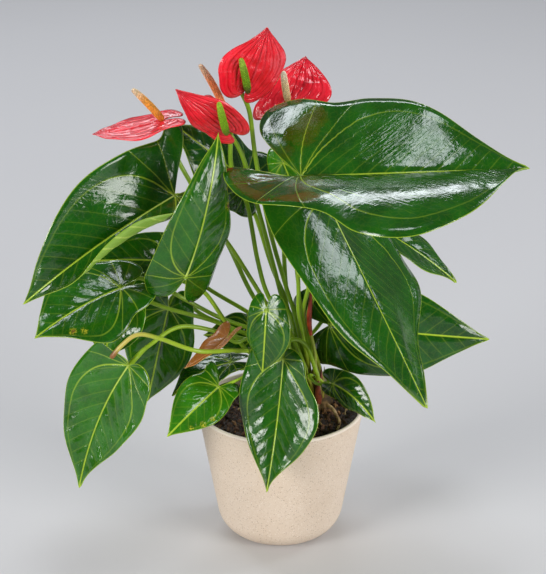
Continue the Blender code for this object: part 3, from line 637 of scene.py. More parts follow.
def makeBlade(blade, name, leafy, finishes, thickness, seed):
    _, length, _, up, _ = bladeAxes(blade)
    tags = bladeSurface(blade, leafy, seed)
    solid, relief, flat = [tags.pop(key) for key in ("solid", "relief", "flat")]
    normal = bladeNormals(solid, up)
    rowCount, width = relief.shape
    relief[0] = relief[-1] = 0
    thin = thickness / 2 * np.clip(0.5 + tags["edgeDistance"] / 6, 0.5, 1)
    top = solid + normal * (relief + thin)[..., None]
    low = solid + normal * (relief - thin)[..., None]

    def pack(values):
        return np.concatenate([values[:1, 0], values[-1:, 0], values[1:-1].reshape(-1, *values.shape[2:])])

    tags.update(bladeSpots(blade, flat, length), fresh=np.full(relief.shape, freshness.get(blade.name, 0.5)))
    tags = {key: np.tile(pack(value), 2) for key, value in tags.items()}
    upper, under, edge = bladeFaces(rowCount, width)
    # the midrib stands out below, and ends short of the tip
    keep, centre = slice(0, int(rowCount * 0.93), 2), width // 2
    ribLine = low[keep, centre] + normal[keep, centre] * 0.15
    size = bladeLook["ribRadius"] * min(1, length / 110) * (1 if leafy else 0.6)
    slimming = 1 - 0.8 * np.linspace(0, 1, len(ribLine))
    ribVerts, ribFaces, ribAlong, _ = sweep(ribLine, size * slimming, 8, up)
    ribTags = dict.fromkeys(tags, 0.0)
    ribTags.update(edgeDistance=20.0, archDistance=20.0, spot=9.0, along=ribAlong, veinSpacing=8.0, fresh=0.7)
    skin = (np.vstack([pack(top), pack(low)]), upper + under + edge, tags)
    verts, faces, tags = joined([skin, (ribVerts, ribFaces, ribTags)])
    uv = np.zeros((len(verts), 2))
    uv[:len(skin[0])] = np.tile(pack(flat[..., ::-1] / 100), (2, 1))
    made = meshObject(name, verts, faces, finishes, tags, uv)
    index = np.repeat([0, 1, 2, 1], [len(upper), len(under), len(edge), len(ribFaces)])
    made.data.polygons.foreach_set("material_index", index)
    return made


# The living cuticle of an old anthurium leaf: dark green flesh under a mirror-smooth wax skin,
# quilted between pale sunken veins, so that it breaks reflections into bluish patches.
def waxyLeaf(name, old, young, vein, shine=0.15):
    s = Finish(name)
    flat = s.add("ShaderNodeUVMap", uv_map="flat")
    phase, across, along, weight = [s.tag(key) for key in ("veinPhase", "across", "along", "veinWeight")]
    colour = s.mix(s.tag("fresh"), old, young)
    colour = s.mix(s.noise(22, 3).ramp(0.35, 0.7), colour, s.mix(0.4, colour, (0.0, 0.01, 0.0, 1)))
    # lateral veins: distance from the nearest one, thinner towards the margin
    fromVein = abs(phase - round(phase)) * s.tag("veinSpacing") / across.ramp(0.0, 1.0, 0.6, 0.3, "LINEAR")
    lateral = fromVein.ramp(0.3, 1.3, 1.0, 0.0) * weight
    glow = fromVein.ramp(0.5, 5.0, 1.0, 0.0) * weight
    # net of fine veins, about 4 mm across, drawn coarser than real so that it shows
    warp = s.add("ShaderNodeTexNoise", {"Vector": flat, "Scale": 12.0, "Detail": 1.0}, "Color")
    net = s.cells(24.0, s.mix(0.06, flat, warp), feature="DISTANCE_TO_EDGE")
    rib = s.tag("ribDistance").ramp(0.3, 1.0, 1.0, 0.0)
    arch = abs(s.tag("archDistance")).ramp(0.25, 0.9, 1.0, 0.0) * along.ramp(0.15, 0.7, 0.8, 0.12, "LINEAR")
    lateral = (lateral * 0.6).math("MAXIMUM", arch * 0.9)
    rim = s.tag("edgeDistance").ramp(0.15, 0.6, 1.0, 0.0)
    for share in (glow * 0.06, net.ramp(0.0, 0.09, 1.0, 0.0) * 0.03, lateral, rib * 0.85, rim * 0.6):
        colour = s.mix(share, colour, vein)
    # dry and yellow blemishes, ragged by noise
    ragged = s.tag("spot") + s.noise(1.6) * 0.9
    halo = ragged.ramp(1.0, 1.7, 1.0, 0.0) * s.noise(1.1, 2).ramp(0.42, 0.56)
    core = ragged.ramp(0.75, 1.1, 1.0, 0.0) * s.tag("spotTone")
    colour = s.mix(halo * 0.75, colour, "#b9b02e")
    colour = s.mix(core, colour, "#5a3413")
    rough = s.noise(9, 2).ramp(0.3, 0.75, shine * 0.6, shine * 1.5) + core * 0.4
    # ripples drawn out along the side veins, strong in some places and absent in others
    lane = s.add("ShaderNodeCombineXYZ", {0: phase * 4.0, 1: across * 8.0, 2: along * 5.0})
    ripple = s.add("ShaderNodeTexNoise", {"Vector": lane, "Scale": 1.0, "Detail": 2.5})
    patchy = s.noise(26, 2).ramp(0.4, 0.62, 0.15, 0.9)
    normal = s.bumps((lateral * -0.6 + rib * -0.5, 0.5, 0.7), (net.ramp(0.0, 0.35), 0.35, 0.16),
                     (ripple, 0.5, patchy), (s.noise(1.3, 3, 0.6), 0.06, 0.2))
    return s.shade(colour, rough, normal, {"IOR": 1.45, "Coat Weight": 0.25, "Coat Roughness": 0.08})


# The underside has no wax: matt light green with raised veins, so it stays even and soft.
def leafUnderside(name, flesh, vein):
    s = Finish(name)
    phase = s.tag("veinPhase")
    lateral = (abs(phase - round(phase)) * s.tag("veinSpacing")).ramp(0.3, 1.1, 1.0, 0.0)
    veins = (lateral * 0.5).math("MAXIMUM", s.tag("ribDistance").ramp(0.5, 1.6, 1.0, 0.0))
    colour = s.mix(s.noise(14, 3), flesh, s.mix(0.35, flesh, (0.02, 0.06, 0.01, 1)))
    normal = s.bumps((veins, 0.5, 0.6), (s.noise(1.0, 3), 0.12, 0.4))
    return s.shade(s.mix(veins, colour, vein), s.noise(6).ramp(0.3, 0.7, 0.38, 0.55), normal, {"IOR": 1.45})


# A spathe is a lacquer-like red bract: deep even red, puckered between curved veins, with a painted pink
# highlight along its ridges.
def lacqueredSpathe(name, deep, bright, shine=0.16):
    s = Finish(name)
    flat = s.add("ShaderNodeUVMap", uv_map="flat")
    lines = s.tag("across") ** 0.9 * float(bladeLook["spatheLines"])
    vein = abs(lines - round(lines)).ramp(0.02, 0.16, 1.0, 0.0)
    ridges = abs((lines * (2 * math.pi)).math("SINE"))
    colour = s.mix(s.noise(9, 3).ramp(0.3, 0.7), deep, bright)
    # painted highlight: the ridge tops are tinted pale pink where the lacquer would catch the light, partly
    # also for the paler tissue on the ridges
    colour = s.mix(ridges * 0.12, colour, "#ff5c6e")
    colour = s.mix(vein * 0.15, colour, "#a00018")
    colour = s.mix(s.tag("edgeDistance").ramp(0.3, 1.0, 1.0, 0.0) * 0.35, colour, "#ff5a5a")
    rough = s.noise(4).ramp(0.3, 0.7, shine * 0.7, shine * 1.6)
    pucker = s.add("ShaderNodeTexNoise", {"Vector": flat, "Scale": 20.0, "Detail": 1.5})
    normal = s.bumps((pucker, 0.9, 0.6), (ridges, 0.5, 0.6), (vein * -1.0, 0.35, 0.6),
                     (s.noise(1.1, 3), 0.1, 0.35))
    return s.shade(colour, rough, normal, {"IOR": 1.5, "Coat Weight": 0.5, "Coat Roughness": 0.08})


# Stalk skin: smooth, satin, faintly ribbed along its length and browner low down. A cut end dries
# to tan, then brown.
def stalkSkin(name, fresh, aged, low, cutEnd=False):
    s = Finish(name)
    along = s.tag("along")
    long = s.add("ShaderNodeMapping", {"Vector": s.place, "Scale": (1, 1, 0.12)})
    streak = s.noise(1.6, 3, at=long)
    colour = s.mix(s.noise(35, 2).ramp(0.35, 0.7), fresh, aged)
    colour = s.mix(streak.ramp(0.5, 0.75, 0.0, 0.45), colour, aged)
    colour = s.mix(along.ramp(0.02, 0.3, 0.75, 0.0), colour, low)
    colour = s.mix(s.cells(420.0).ramp(0.1, 0.2, 0.28, 0.0), colour, "#5d6a22")
    if cutEnd:
        colour = s.mix(along.ramp(0.8, 0.92, 0.0, 0.8), colour, "#c9b05c")
        colour = s.mix(along.ramp(0.955, 0.985), colour, "#8e5f34")
    ribs = (s.tag("around") * (2 * math.pi * 9)).math("SINE")
    normal = s.bumps((ribs, 0.06, 0.4), (streak, 0.15, 0.4))
    return s.shade(colour, streak.ramp(0.3, 0.7, 0.3, 0.42), normal, {"IOR": 1.45})


# A spadix is packed with tiny fleshy florets: matt, waxy and softly graded from foot to tip, with painted
# shade in the gaps between them.
def floretFlesh(name, foot, middle, tip):
    s = Finish(name)
    height = s.tag("height")
    colour = s.mix(height.ramp(0.0, 0.35), foot, middle)
    colour = s.mix(height.ramp(0.55, 0.95), colour, tip)
    colour = s.mix(s.noise(0.8).ramp(0.4, 0.7, 0.0, 0.25), colour, middle)
    # painted shade: the cell edges between the florets are darkened, as the gaps between them would be in
    # shade
    floretGapShade = s.mix(0.55, colour, (0.03, 0.02, 0.0, 1))
    colour = s.mix(s.cells(760.0).ramp(0.35, 0.65, 0.0, 0.6), colour, floretGapShade)
    soft = {"IOR": 1.42, "Subsurface Weight": 0.15, "Subsurface Radius": (0.002, 0.001, 0.0005)}
    return s.shade(colour, 0.5, s.bumps((s.noise(0.5, 2), 0.06, 0.5)), soft)


# Matt cream stoneware: fine open grain, brown iron specks and pale grog under 1 mm, and a painted highlight
# along the lip.
def creamStoneware(name):
    s = Finish(name)
    grain = s.noise(0.9, 3, 0.7)
    colour = s.mix(s.noise(28, 3).ramp(0.3, 0.7), "#dac8b5", "#decdbb")
    colour = s.mix(grain.ramp(0.42, 0.72, 0.0, 0.5), colour, "#cbb397")
    sorts = [(620.0, 0.12, 0.3, "#8f7154", 0.8), (800.0, 0.12, 0.3, "#fbf6ef", 0.7),
             (260.0, 0.05, 0.1, "#6d5038", 0.9)]
    for scale, low, high, tone, weight in sorts:
        specks = s.cells(scale)
        gate = s.add("ShaderNodeSeparateColor", {0: specks.other("Color")}).ramp(0.5, 0.55)
        colour = s.mix(specks.ramp(low, high, weight, 0.0) * gate, colour, tone)
    # painted highlight: the top band of the lip is paled as if lit from above
    colour = s.mix(s.tag("lip").ramp(0.2, 0.8) * 0.6, colour, "#f3e8dc")
    normal = s.bumps((s.noise(5, 2), 0.15, 0.3), (grain, 0.1, 0.6))
    return s.shade(colour, grain.ramp(0.3, 0.7, 0.5, 0.68), normal, {"IOR": 1.5})


# Bark and coir compost: damp, dark, torn fibres with a few dry tan faces.
def barkCompost(name):
    s = Finish(name)
    tone = s.tag("chipTone")
    colour = s.mix(tone.ramp(0.0, 0.7), "#24170f", "#5f3e27")
    colour = s.mix(tone.ramp(0.76, 0.95), colour, "#9a7044")
    colour = s.mix(s.noise(1.5, 4).ramp(0.45, 0.7, 0.0, 0.6), colour, "#130c08")
    rough = s.noise(3).ramp(0.3, 0.7, 0.6, 0.95)
    return s.shade(colour, rough, s.bumps((s.noise(0.9, 4, 0.7), 0.5, 0.8)))


# Dry sheath: the papery skin that wrapped a young leaf, thin, ridged and dull.
def dryHusk(name, pale, dark, shine=0.55):
    s = Finish(name)
    long = s.add("ShaderNodeMapping", {"Vector": s.place, "Scale": (1, 1, 0.2)})
    fibre = s.noise(0.9, 4, 0.6, long)
    colour = s.mix(s.noise(7, 3).ramp(0.35, 0.65), pale, dark)
    colour = s.mix(fibre.ramp(0.45, 0.7, 0.0, 0.6), colour, dark)
    return s.shade(colour, shine, s.bumps((fibre, 0.3, 0.7)))


greens = {"old": "#07460a", "young": "#35800a", "vein": "#b4d03a", "under": "#86ad3c", "underVein": "#b9d060"}
leafTop = waxyLeaf("waxy_leaf_top", greens["old"], greens["young"], greens["vein"])
leafLow = leafUnderside("leaf_underside", greens["under"], greens["underVein"])
bronzeTop = waxyLeaf("bronze_young_leaf", "#8a4a20", "#c07a34", "#c98a4a", 0.3)
spatheTop = lacqueredSpathe("lacquered_red_spathe", "#e60c22", "#ff2036")
spatheLow = lacqueredSpathe("spathe_underside", "#b01a2a", "#cc3040", 0.35)

for number, blade in enumerate(leaves):
    top = bronzeTop if blade.name == "leaf_20" else leafTop
    piece = makeBlade(blade, blade.name + "_leafBlade", True, [top, leafLow, top], bladeThickness, number)
    hand(piece, blade.name + "_blade", "leaf")
print("leaf blades made")

for number, blade in enumerate(spathes):
    finishes = [spatheTop, spatheLow, spatheTop]
    piece = makeBlade(blade, blade.name + "_bract", False, finishes, spatheThickness, number)
    hand(piece, blade.name + "_spathe", "spathe")
print("spathes made")

# Stalks: a sheathed foot, a slim middle and the swollen joint just under the blade
stalkShape = {"footSwell": 0.35, "footLength": 9, "jointSwell": 0.22, "jointLength": 11, "slim": 0.94}


def makeStalk(name, line, radius, finish, end=None):
    look = stalkShape
    points = smoothCurve(line, stalkLook["rings"], 4)
    if end is not None:
        points = np.vstack([points, end])
    run = runAlong(points)
    size = look["slim"] + look["footSwell"] * np.exp(-(run / look["footLength"]) ** 2)
    if end is None:
        size[-3:] *= [1.12, 1.15, 1.05]
    else:
        size += look["jointSwell"] * np.exp(-((run[-1] - run - 6) / look["jointLength"]) ** 4)
    verts, faces, along, around = sweep(points, size * radius, stalkLook["sides"])
    return meshObject(name, verts, faces, [finish], {"along": along, "around": around})


petioleSkin = stalkSkin("petiole_skin", "#9fc42e", "#7c9e1e", "#7a5a26")
peduncleSkin = stalkSkin("flower_stalk_skin", "#8fb526", "#6f951f", "#6a6a26")
cutSkin = stalkSkin("cut_petiole_skin", "#9dbb2e", "#869c24", "#7a5a26", True)
lines, radii = stalkRoutes()
for blade in leaves + spathes:
    skin, suffix = (peduncleSkin, "_stalk") if blade in spathes else (petioleSkin, "_petiole")
    joint, _, _, up, _ = bladeAxes(blade)
    piece = makeStalk(blade.name + "_stem", lines[blade.name], radii[blade.name], skin, joint - up * 0.2)
    hand(piece, blade.name + suffix, "stalk")
hand(makeStalk("cut_stem", lines["cut_petiole"], radii["cut_petiole"], cutSkin), "cut_petiole", "stalk")
print("stalks made")

# Spadices: florets in a tight spiral on a tapering spike. Length is a share of the reach.
spadixLook = {
    "radius": 2.9, "bend": 1.5, "florets": 360, "floretSize": 0.66, "spiralTurn": 137.508,
    "length": [1.1, 1.2, 1.2, 1.15, 1.22],
    "outline": [(0, 0.8), (0.15, 1), (0.5, 0.98), (0.8, 0.85), (0.94, 0.65), (1, 0.35)],
    "colours": [
        ("#f79a2c", "#ffb648", "#ffe9c4"), ("#6b7a14", "#8fc016", "#b2dc3c"),
        ("#4e4c12", "#7fae16", "#b0d44a"), ("#f0cf8e", "#fae3b0", "#fff6de"),
        ("#ff8a40", "#ffaa6c", "#ffe4c4"),
    ],
}


def nodeGroup(name, inputs, result):  # a new group's nodes, and its inputs by name
    tree = bpy.data.node_groups.new(name, "GeometryNodeTree")
    for label, kind in inputs.items():
        tree.interface.new_socket(label, in_out="INPUT", socket_type="NodeSocket" + kind)
    tree.interface.new_socket(result, in_out="OUTPUT", socket_type="NodeSocketGeometry")
    nodes = Nodes(tree)
    given = nodes.add("NodeGroupInput")
    return nodes, {label: given.other(label) for label in inputs}


def floretTree():
    nodes, given = nodeGroup("floret_spiral", {
        "Line": "Geometry", "Florets": "Int", "Floret Size": "Float", "Spike Radius": "Float",
        "Flesh": "Material", "Seed": "Int"}, "Spadix")
    row = nodes.add("GeometryNodeMeshLine", {"Count": given["Florets"]}, mode="OFFSET")
    index = nodes.add("GeometryNodeInputIndex")
    share = index / (given["Florets"] - 1.0)
    stored = nodes.add("GeometryNodeStoreNamedAttribute", {"Geometry": row, "Name": "height", "Value": share},
                       data_type="FLOAT", domain="POINT")
    path = nodes.add("GeometryNodeMeshToCurve", {"Mesh": given["Line"]})
    spine = nodes.add("GeometryNodeSampleCurve", {"Curves": path, "Factor": share}, "Position", mode="FACTOR")
    normal = spine.other("Normal")
    angle = index * math.radians(spadixLook["spiralTurn"])
    side = spine.other("Tangent").vector("CROSS_PRODUCT", normal).vector("SCALE", angle.math("SINE"))
    out = normal.vector("SCALE", angle.math("COSINE")).vector("ADD", side)
    profile = nodes.add("ShaderNodeFloatCurve", {"Value": share})
    mapping, outline = profile.socket.node.mapping, spadixLook["outline"]
    for at, girth in outline[1:-1]:
        mapping.curves[0].points.new(at, girth)
    for end in (0, -1):
        mapping.curves[0].points[end].location = outline[end]
    mapping.update()
    seat = spine.vector("ADD", out.vector("SCALE", profile * given["Spike Radius"]))
    placed = nodes.add("GeometryNodeSetPosition", {"Geometry": stored, "Position": seat})
    bead = nodes.add("GeometryNodeMeshIcoSphere", {"Radius": given["Floret Size"], "Subdivisions": 1})
    bead = nodes.add("GeometryNodeTransform", {"Geometry": bead, "Scale": (1, 1, 0.7)})
    upright = nodes.add("FunctionNodeAlignRotationToVector", {"Vector": out}, axis="Z")
    vary = nodes.add("FunctionNodeRandomValue", {2: 0.85, 3: 1.12, "Seed": given["Seed"]}, 1)
    size = vary * profile ** 0.5
    beads = nodes.add("GeometryNodeInstanceOnPoints",
                      {"Points": placed, "Instance": bead, "Rotation": upright, "Scale": size})
    real = nodes.add("GeometryNodeRealizeInstances", {"Geometry": beads})
    smooth = nodes.add("GeometryNodeSetShadeSmooth", {"Geometry": real})
    done = nodes.add("GeometryNodeSetMaterial", {"Geometry": smooth, "Material": given["Flesh"]})
    nodes.add("NodeGroupOutput", {0: done})
    return nodes.tree


def nodesToMesh(carrier, tree, values, name):  # runs a node tree on the carrier and keeps the plain mesh
    modifier = carrier.modifiers.new("nodes", "NODES")
    modifier.node_group = tree
    for item in tree.interface.items_tree:
        if item.in_out == "INPUT" and item.name in values:
            modifier[item.identifier] = values[item.name]
    depsgraph = bpy.context.evaluated_depsgraph_get()
    mesh = bpy.data.meshes.new_from_object(carrier.evaluated_get(depsgraph), depsgraph=depsgraph)
    bpy.data.objects.remove(carrier)
    mesh.name = name
    return linked(name, mesh)


def mergeMeshes(first, second):  # second's mesh goes into first, with its attributes
    with bpy.context.temp_override(active_object=first, selected_editable_objects=[first, second]):
        bpy.ops.object.join()
    return first


spiral = floretTree()
for number, blade in enumerate(spathes):
    look = spadixLook
    joint, _, _, up, _ = bladeAxes(blade)
    reach = np.array(spadixReach[blade.name], float) * look["length"][number]
    shares = np.linspace(0, 1, 25)
    girths = np.interp(shares, *np.transpose(look["outline"])) * look["radius"]
    lean = math.acos(float(unit(reach) @ up))
    foot = joint + up * (spatheThickness / 2 + gap + girths[0] * math.sin(lean))
    spine = foot + np.outer(shares, reach) + np.outer(4 * shares * (1 - shares) * look["bend"], up)
    flesh = floretFlesh(blade.name + "_floret_flesh", *look["colours"][number])
    wire = bpy.data.meshes.new("spine")
    wire.from_pydata([tuple(place * mm) for place in spine], [(i, i + 1) for i in range(len(spine) - 1)], [])
    values = {"Florets": look["florets"], "Floret Size": look["floretSize"] * mm,
              "Spike Radius": (look["radius"] - 0.3) * mm, "Flesh": flesh, "Seed": number}
    florets = nodesToMesh(linked("spine", wire), spiral, values, blade.name + "_spike")
    ends = np.vstack([foot - unit(reach) * 1.5, spine])
    core = sweep(ends, np.append(girths[0], girths) - 0.45, 16)
    piece = mergeMeshes(florets, meshObject("core", core[0], core[1], [flesh], {"height": core[2]}))
    hand(piece, blade.name + "_spadix", "spadix")
print("spadices made")

# Pot: a thrown wall that leans out to a rounded lip, on a softly rounded foot
potLook = {
    "rimRadius": 67.5, "height": 112, "taper": 9.9, "wall": 3.2, "footRounding": 24, "floor": 4,
    "lipBand": 2.6, "steps": 128,
    # lip and groove: mm inwards from the rim and down from the top
    "rim": [(3.0, 1.6), (2.6, 0.5), (2.1, 0.08), (1.6, 0), (1.1, 0.06), (0.6, 0.35), (0.22, 0.85),
            (0.05, 1.5), (0.08, 2.4), (0.26, 3.0), (0.75, 3.4), (0.82, 3.8), (0.66, 4.4)],
}
wallAcross = potLook["wall"] / math.cos(math.radians(potLook["taper"]))


def wallRadius(z):
    return potLook["rimRadius"] - (potLook["height"] - z) * math.tan(math.radians(potLook["taper"]))


def footArc(start, end, count, radius, lowest):
    rounding = potLook["footRounding"]
    centre = wallRadius(rounding) - rounding / math.cos(math.radians(potLook["taper"]))
    angles = np.radians(np.linspace(start, end, count))
    return [(centre + radius * math.cos(a), max(rounding + radius * math.sin(a), lowest)) for a in angles]


def makePot():
    look = potLook
    inner = footArc(-62, -look["taper"], 12, look["footRounding"] - look["wall"], look["floor"])
    profile = [(0, look["floor"]), (inner[0][0] * 0.5, look["floor"]), *inner]
    profile += [(wallRadius(z) - wallAcross, z) for z in np.linspace(30, 107, 12)]
    profile += [(look["rimRadius"] - inwards, look["height"] - down) for inwards, down in look["rim"]]
    profile += [(wallRadius(z), z) for z in np.linspace(106, 26, 22)]
    profile += footArc(-look["taper"], -90, 18, look["footRounding"], 0)
    verts, faces = turned(profile + [(14, 0), (0, 0)], look["steps"])
    # lip tag: rises to 1 over the top band of the lip, which the stoneware paints pale as a highlight
    rise = np.clip((verts[:, 2] - look["height"] + look["lipBand"]) / 0.6, 0, 1)
    stoneware = creamStoneware("cream_stoneware")
    return meshObject("cream_pot", verts, [face[::-1] for face in faces], [stoneware], {"lip": rise})


hand(makePot(), "pot", "pot")
print("pot made")

# Soil: a lumpy bed with two sizes of bark chip scattered over it
soilLook = {
    "top": 106.2, "edgeTop": 103.6, "flatRadius": 52, "lump": 1.5, "base": 4.3, "steps": 120, "rings": 44,
    "seed": 8, "chips": [(1.15, 1.9, 3), (3.4, 5.6, 4)],  # size, spacing and seed of each sort of chip
    "chipsAbove": 100, "chipLevel": 104, "chipsInside": 5.5,
}


def lumps(x, y, seed):  # summed waves, so that it needs no table
    total = np.zeros(np.shape(x))
    for k in range(9):
        angle = cellRandom(k + 1, seed) * 6.28
        along = x * math.cos(angle) + y * math.sin(angle)
        total += np.sin(along * 6.28 / (5 + 3.2 * k) + k * 2.1) * (0.35 + 0.03 * k)
    return total / 3


def makeSoil(finish):
    look = soilLook
    edge = wallRadius(look["edgeTop"]) - wallAcross - 0.35
    radii = np.linspace(0, edge, look["rings"] + 1)
    heights = np.interp(radii, [0, look["flatRadius"], edge], [look["top"], look["top"], look["edgeTop"]])
    side = footArc(-potLook["taper"], -62, 10, potLook["footRounding"] - potLook["wall"] - 0.6, look["base"])
    verts, faces = turned([*zip(radii, heights), *side, (0, look["base"])], look["steps"])
    over = verts[:, 2] > 90
    calm = np.clip((edge - np.hypot(verts[:, 0], verts[:, 1])) / 8, 0, 1)
    verts[over, 2] += (lumps(verts[:, 0], verts[:, 1], look["seed"]) * look["lump"] * calm)[over]
    return meshObject("compost_bed", verts, faces, [finish], {"chipTone": np.full(len(verts), 0.15)})


def chipTree():
    nodes, given = nodeGroup("scattered_bark", {
        "Bed": "Geometry", "Spacing": "Float", "Chip": "Float", "Seed": "Int", "Bark": "Material",
        "Lowest": "Float", "Reach": "Float"}, "Chips")
    place = nodes.add("GeometryNodeInputPosition")
    height = nodes.add("ShaderNodeSeparateXYZ", {0: place}, 2)
    away = place.vector("MULTIPLY", (1, 1, 0)).vector("LENGTH").other(1)
    high = nodes.add("FunctionNodeCompare", {0: height, 1: given["Lowest"]}, operation="GREATER_THAN")
    near = nodes.add("FunctionNodeCompare", {0: away, 1: given["Reach"]}, operation="LESS_THAN")
    where = nodes.add("FunctionNodeBooleanMath", {0: high, 1: near}, operation="AND")
    spread = nodes.add("GeometryNodeDistributePointsOnFaces", {"Mesh": given["Bed"], "Selection": where,
                       "Distance Min": given["Spacing"], "Density Max": 900000.0, "Seed": given["Seed"]},
                       distribute_method="POISSON")
    tone = nodes.add("FunctionNodeRandomValue", {"Seed": given["Seed"]}, 1)
    toned = {"Geometry": spread, "Name": "chipTone", "Value": tone}
    stored = nodes.add("GeometryNodeStoreNamedAttribute", toned, data_type="FLOAT", domain="POINT")
    chip = nodes.add("GeometryNodeMeshIcoSphere", {"Radius": 1.0, "Subdivisions": 1})
    turnBy = nodes.add("FunctionNodeRandomValue", {0: (-3.1, -3.1, -3.1), 1: (3.1, 3.1, 3.1), "Seed": 11},
                       data_type="FLOAT_VECTOR")
    stretch = nodes.add("FunctionNodeRandomValue", {0: (0.5, 0.35, 0.25), 1: (1.6, 0.9, 0.6), "Seed": 5},
                        data_type="FLOAT_VECTOR")
    chips = nodes.add("GeometryNodeInstanceOnPoints", {"Points": stored, "Instance": chip, "Rotation": turnBy,
                      "Scale": stretch.vector("SCALE", given["Chip"])})
    real = nodes.add("GeometryNodeRealizeInstances", {"Geometry": chips})
    done = nodes.add("GeometryNodeSetMaterial", {"Geometry": real, "Material": given["Bark"]})
    nodes.add("NodeGroupOutput", {0: done})
    return nodes.tree


bark = barkCompost("bark_compost")
scatter = chipTree()
soil = makeSoil(bark)
for size, spacing, seed in soilLook["chips"]:
    reach = wallRadius(soilLook["chipLevel"]) - soilLook["chipsInside"] - size
    values = {"Spacing": spacing * mm, "Chip": size * mm, "Seed": seed, "Bark": bark,
              "Lowest": soilLook["chipsAbove"] * mm, "Reach": reach * mm}
    soil = mergeMeshes(soil, nodesToMesh(linked("bed", soil.data.copy()), scatter, values, "chips"))
hand(soil, "soil", "soil")
print("soil made")

# Crown: a low woody mound with dry sheaths standing round the feet of the stalks
crownLook = {
    "centre": (19, 14), "halfAxes": (22, 18), "top": 113, "low": 105.5, "seed": 21,
    "outline": [(1.06, 0), (1.05, 0.35), (1.0, 0.7), (0.93, 0.93), (0.8, 1.02), (0.55, 1.08), (0.28, 1.1)],
    "huskHeights": (14, 34), "huskWidths": (2.2, 3.4), "huskLeans": (2.5, 5), "huskCup": 70,
    "huskKinds": ("tan", "tan", "green", "red"),
}


def makeCrown(finish):
    look = crownLook
    centre, reach, low = look["centre"], look["halfAxes"], look["low"]
    turn = np.linspace(0, 2 * math.pi, 60, endpoint=False)
    rings = []
    for share, height in look["outline"]:
        wobble = 1 + 0.035 * np.sin(turn * 5 + height * 4) + 0.025 * np.sin(turn * 11 + 2)
        x = centre[0] + reach[0] * share * wobble * np.cos(turn)
        y = centre[1] + reach[1] * share * wobble * np.sin(turn)
        z = low + height * (look["top"] - low) + lumps(x, y, 5) * 0.9 * min(1, height * 2)
        rings.append(np.stack([x, y, z], -1))
    verts = np.vstack(rings + [[(*centre, low)], [(*centre, rings[-1][:, 2].mean() + 0.2)]])
    return meshObject("woody_crown", verts, ringFaces(len(rings), len(turn)), [finish])


def huskStrip(foot, tip, width, cup, lean):
    # a thin pointed sheath from foot to tip, cupped round the stalk beside it: closed, two skins
    rows, columns, thickness = 14, 6, 0.36
    side = unit(np.cross(unit(tip - foot), lean))
    out = np.cross(side, unit(tip - foot))
    share = np.linspace(0, 1, rows + 1)[:, None]
    wide = width * np.minimum(1, (1 - share) ** 0.75 * 1.25) * (0.85 + 0.3 * np.sin(share * 3))
    curl = np.linspace(-1, 1, columns + 1)[None, :] * math.radians(cup)
    across = wide * np.sin(curl) / math.sin(math.radians(cup))
    back = wide * (1 - np.cos(curl)) * 0.9
    spine = foot + (tip - foot) * share[..., None] + out * (2.2 * np.sin(share * 2.6))[..., None]
    skin = spine + side * across[..., None] - out * back[..., None]
    sheets = np.stack([skin + out * thickness / 2, skin - out * thickness / 2])
    shift = (rows + 1) * (columns + 1)
    grid = np.arange(shift).reshape(rows + 1, columns + 1)
    faces = []
    for i in range(rows):
        for j in range(columns):
            quad = (grid[i, j], grid[i, j + 1], grid[i + 1, j + 1], grid[i + 1, j])
            faces += [quad, tuple(n + shift for n in reversed(quad))]
    ring = [*grid[0], *grid[1:, -1], *grid[-1, -2::-1], *grid[-2:0:-1, 0]]
    faces += [(b, a, a + shift, b + shift) for a, b in zip(ring, ring[1:] + ring[:1])]
    return sheets.reshape(-1, 3), faces, {}


huskSkins = {
    "tan": dryHusk("dry_tan_husk", "#9a7b45", "#4c351b"),
    "green": dryHusk("fading_green_husk", "#8c8a3a", "#5a4a20"),
    "red": dryHusk("red_brown_husk", "#93482a", "#4c1f12", 0.5),
}
random = np.random.default_rng(crownLook["seed"])
husks = {kind: [] for kind in huskSkins}
for name, line in lines.items():
    foot = line[0]
    for _ in range(1 if name in smallLeaves else 2):
        turn = random.uniform(0, 6.28)
        lean = np.array([math.cos(turn), math.sin(turn), 0])
        rise = random.uniform(*crownLook["huskHeights"])
        follow = line[int(rise / 40 * 6)]
        start = foot + lean * 1.6 + (0, 0, -3.5)
        away = lean * random.uniform(*crownLook["huskLeans"])
        end = np.array([follow[0], follow[1], 0]) + away + (0, 0, foot[2] + rise)
        kind = crownLook["huskKinds"][int(random.integers(0, 4))]
        width = random.uniform(*crownLook["huskWidths"])
        husks[kind].append(huskStrip(start, end, width, crownLook["huskCup"], lean))
crown = makeCrown(dryHusk("woody_crown", "#6d5228", "#33240f", 0.8))
for kind, finish in huskSkins.items():
    verts, faces, _ = joined(husks[kind])
    crown = mergeMeshes(crown, meshObject(kind, verts, faces, [finish]))
hand(crown, "crown", "crown")

# Young shoot: a thin stalk whose end is still wrapped in a pointed red sheath
shootLook = {
    "outline": [(0, 1.7), (0.1, 1.45), (0.58, 1.4), (0.66, 1.9), (0.75, 2.2), (0.88, 1.7), (0.96, 0.9),
                (1, 0.3)], "sheathFrom": 0.58, "sides": 16,
}
line = smoothCurve(lines["young_shoot"], 81, 4)
girths = np.interp(np.linspace(0, 1, len(line)), *np.transpose(shootLook["outline"]))
verts, faces, along, around = sweep(line, girths, shootLook["sides"])
youngSheath = dryHusk("young_red_sheath", "#c64a2c", "#8a2a18", 0.35)
shootSkin = stalkSkin("shoot_skin", "#a3b046", "#9a8a38", "#a0522c")
tags = {"along": along, "around": around}
shoot = meshObject("wrapped_shoot", verts, faces, [shootSkin, youngSheath], tags)
ringOf = np.array([min(face) // shootLook["sides"] for face in faces])
sheathed = (ringOf > shootLook["sheathFrom"] * len(line)).astype(int)
shoot.data.polygons.foreach_set("material_index", sheathed)
hand(shoot, "young_shoot", "sheath")
print("crown and shoot made")

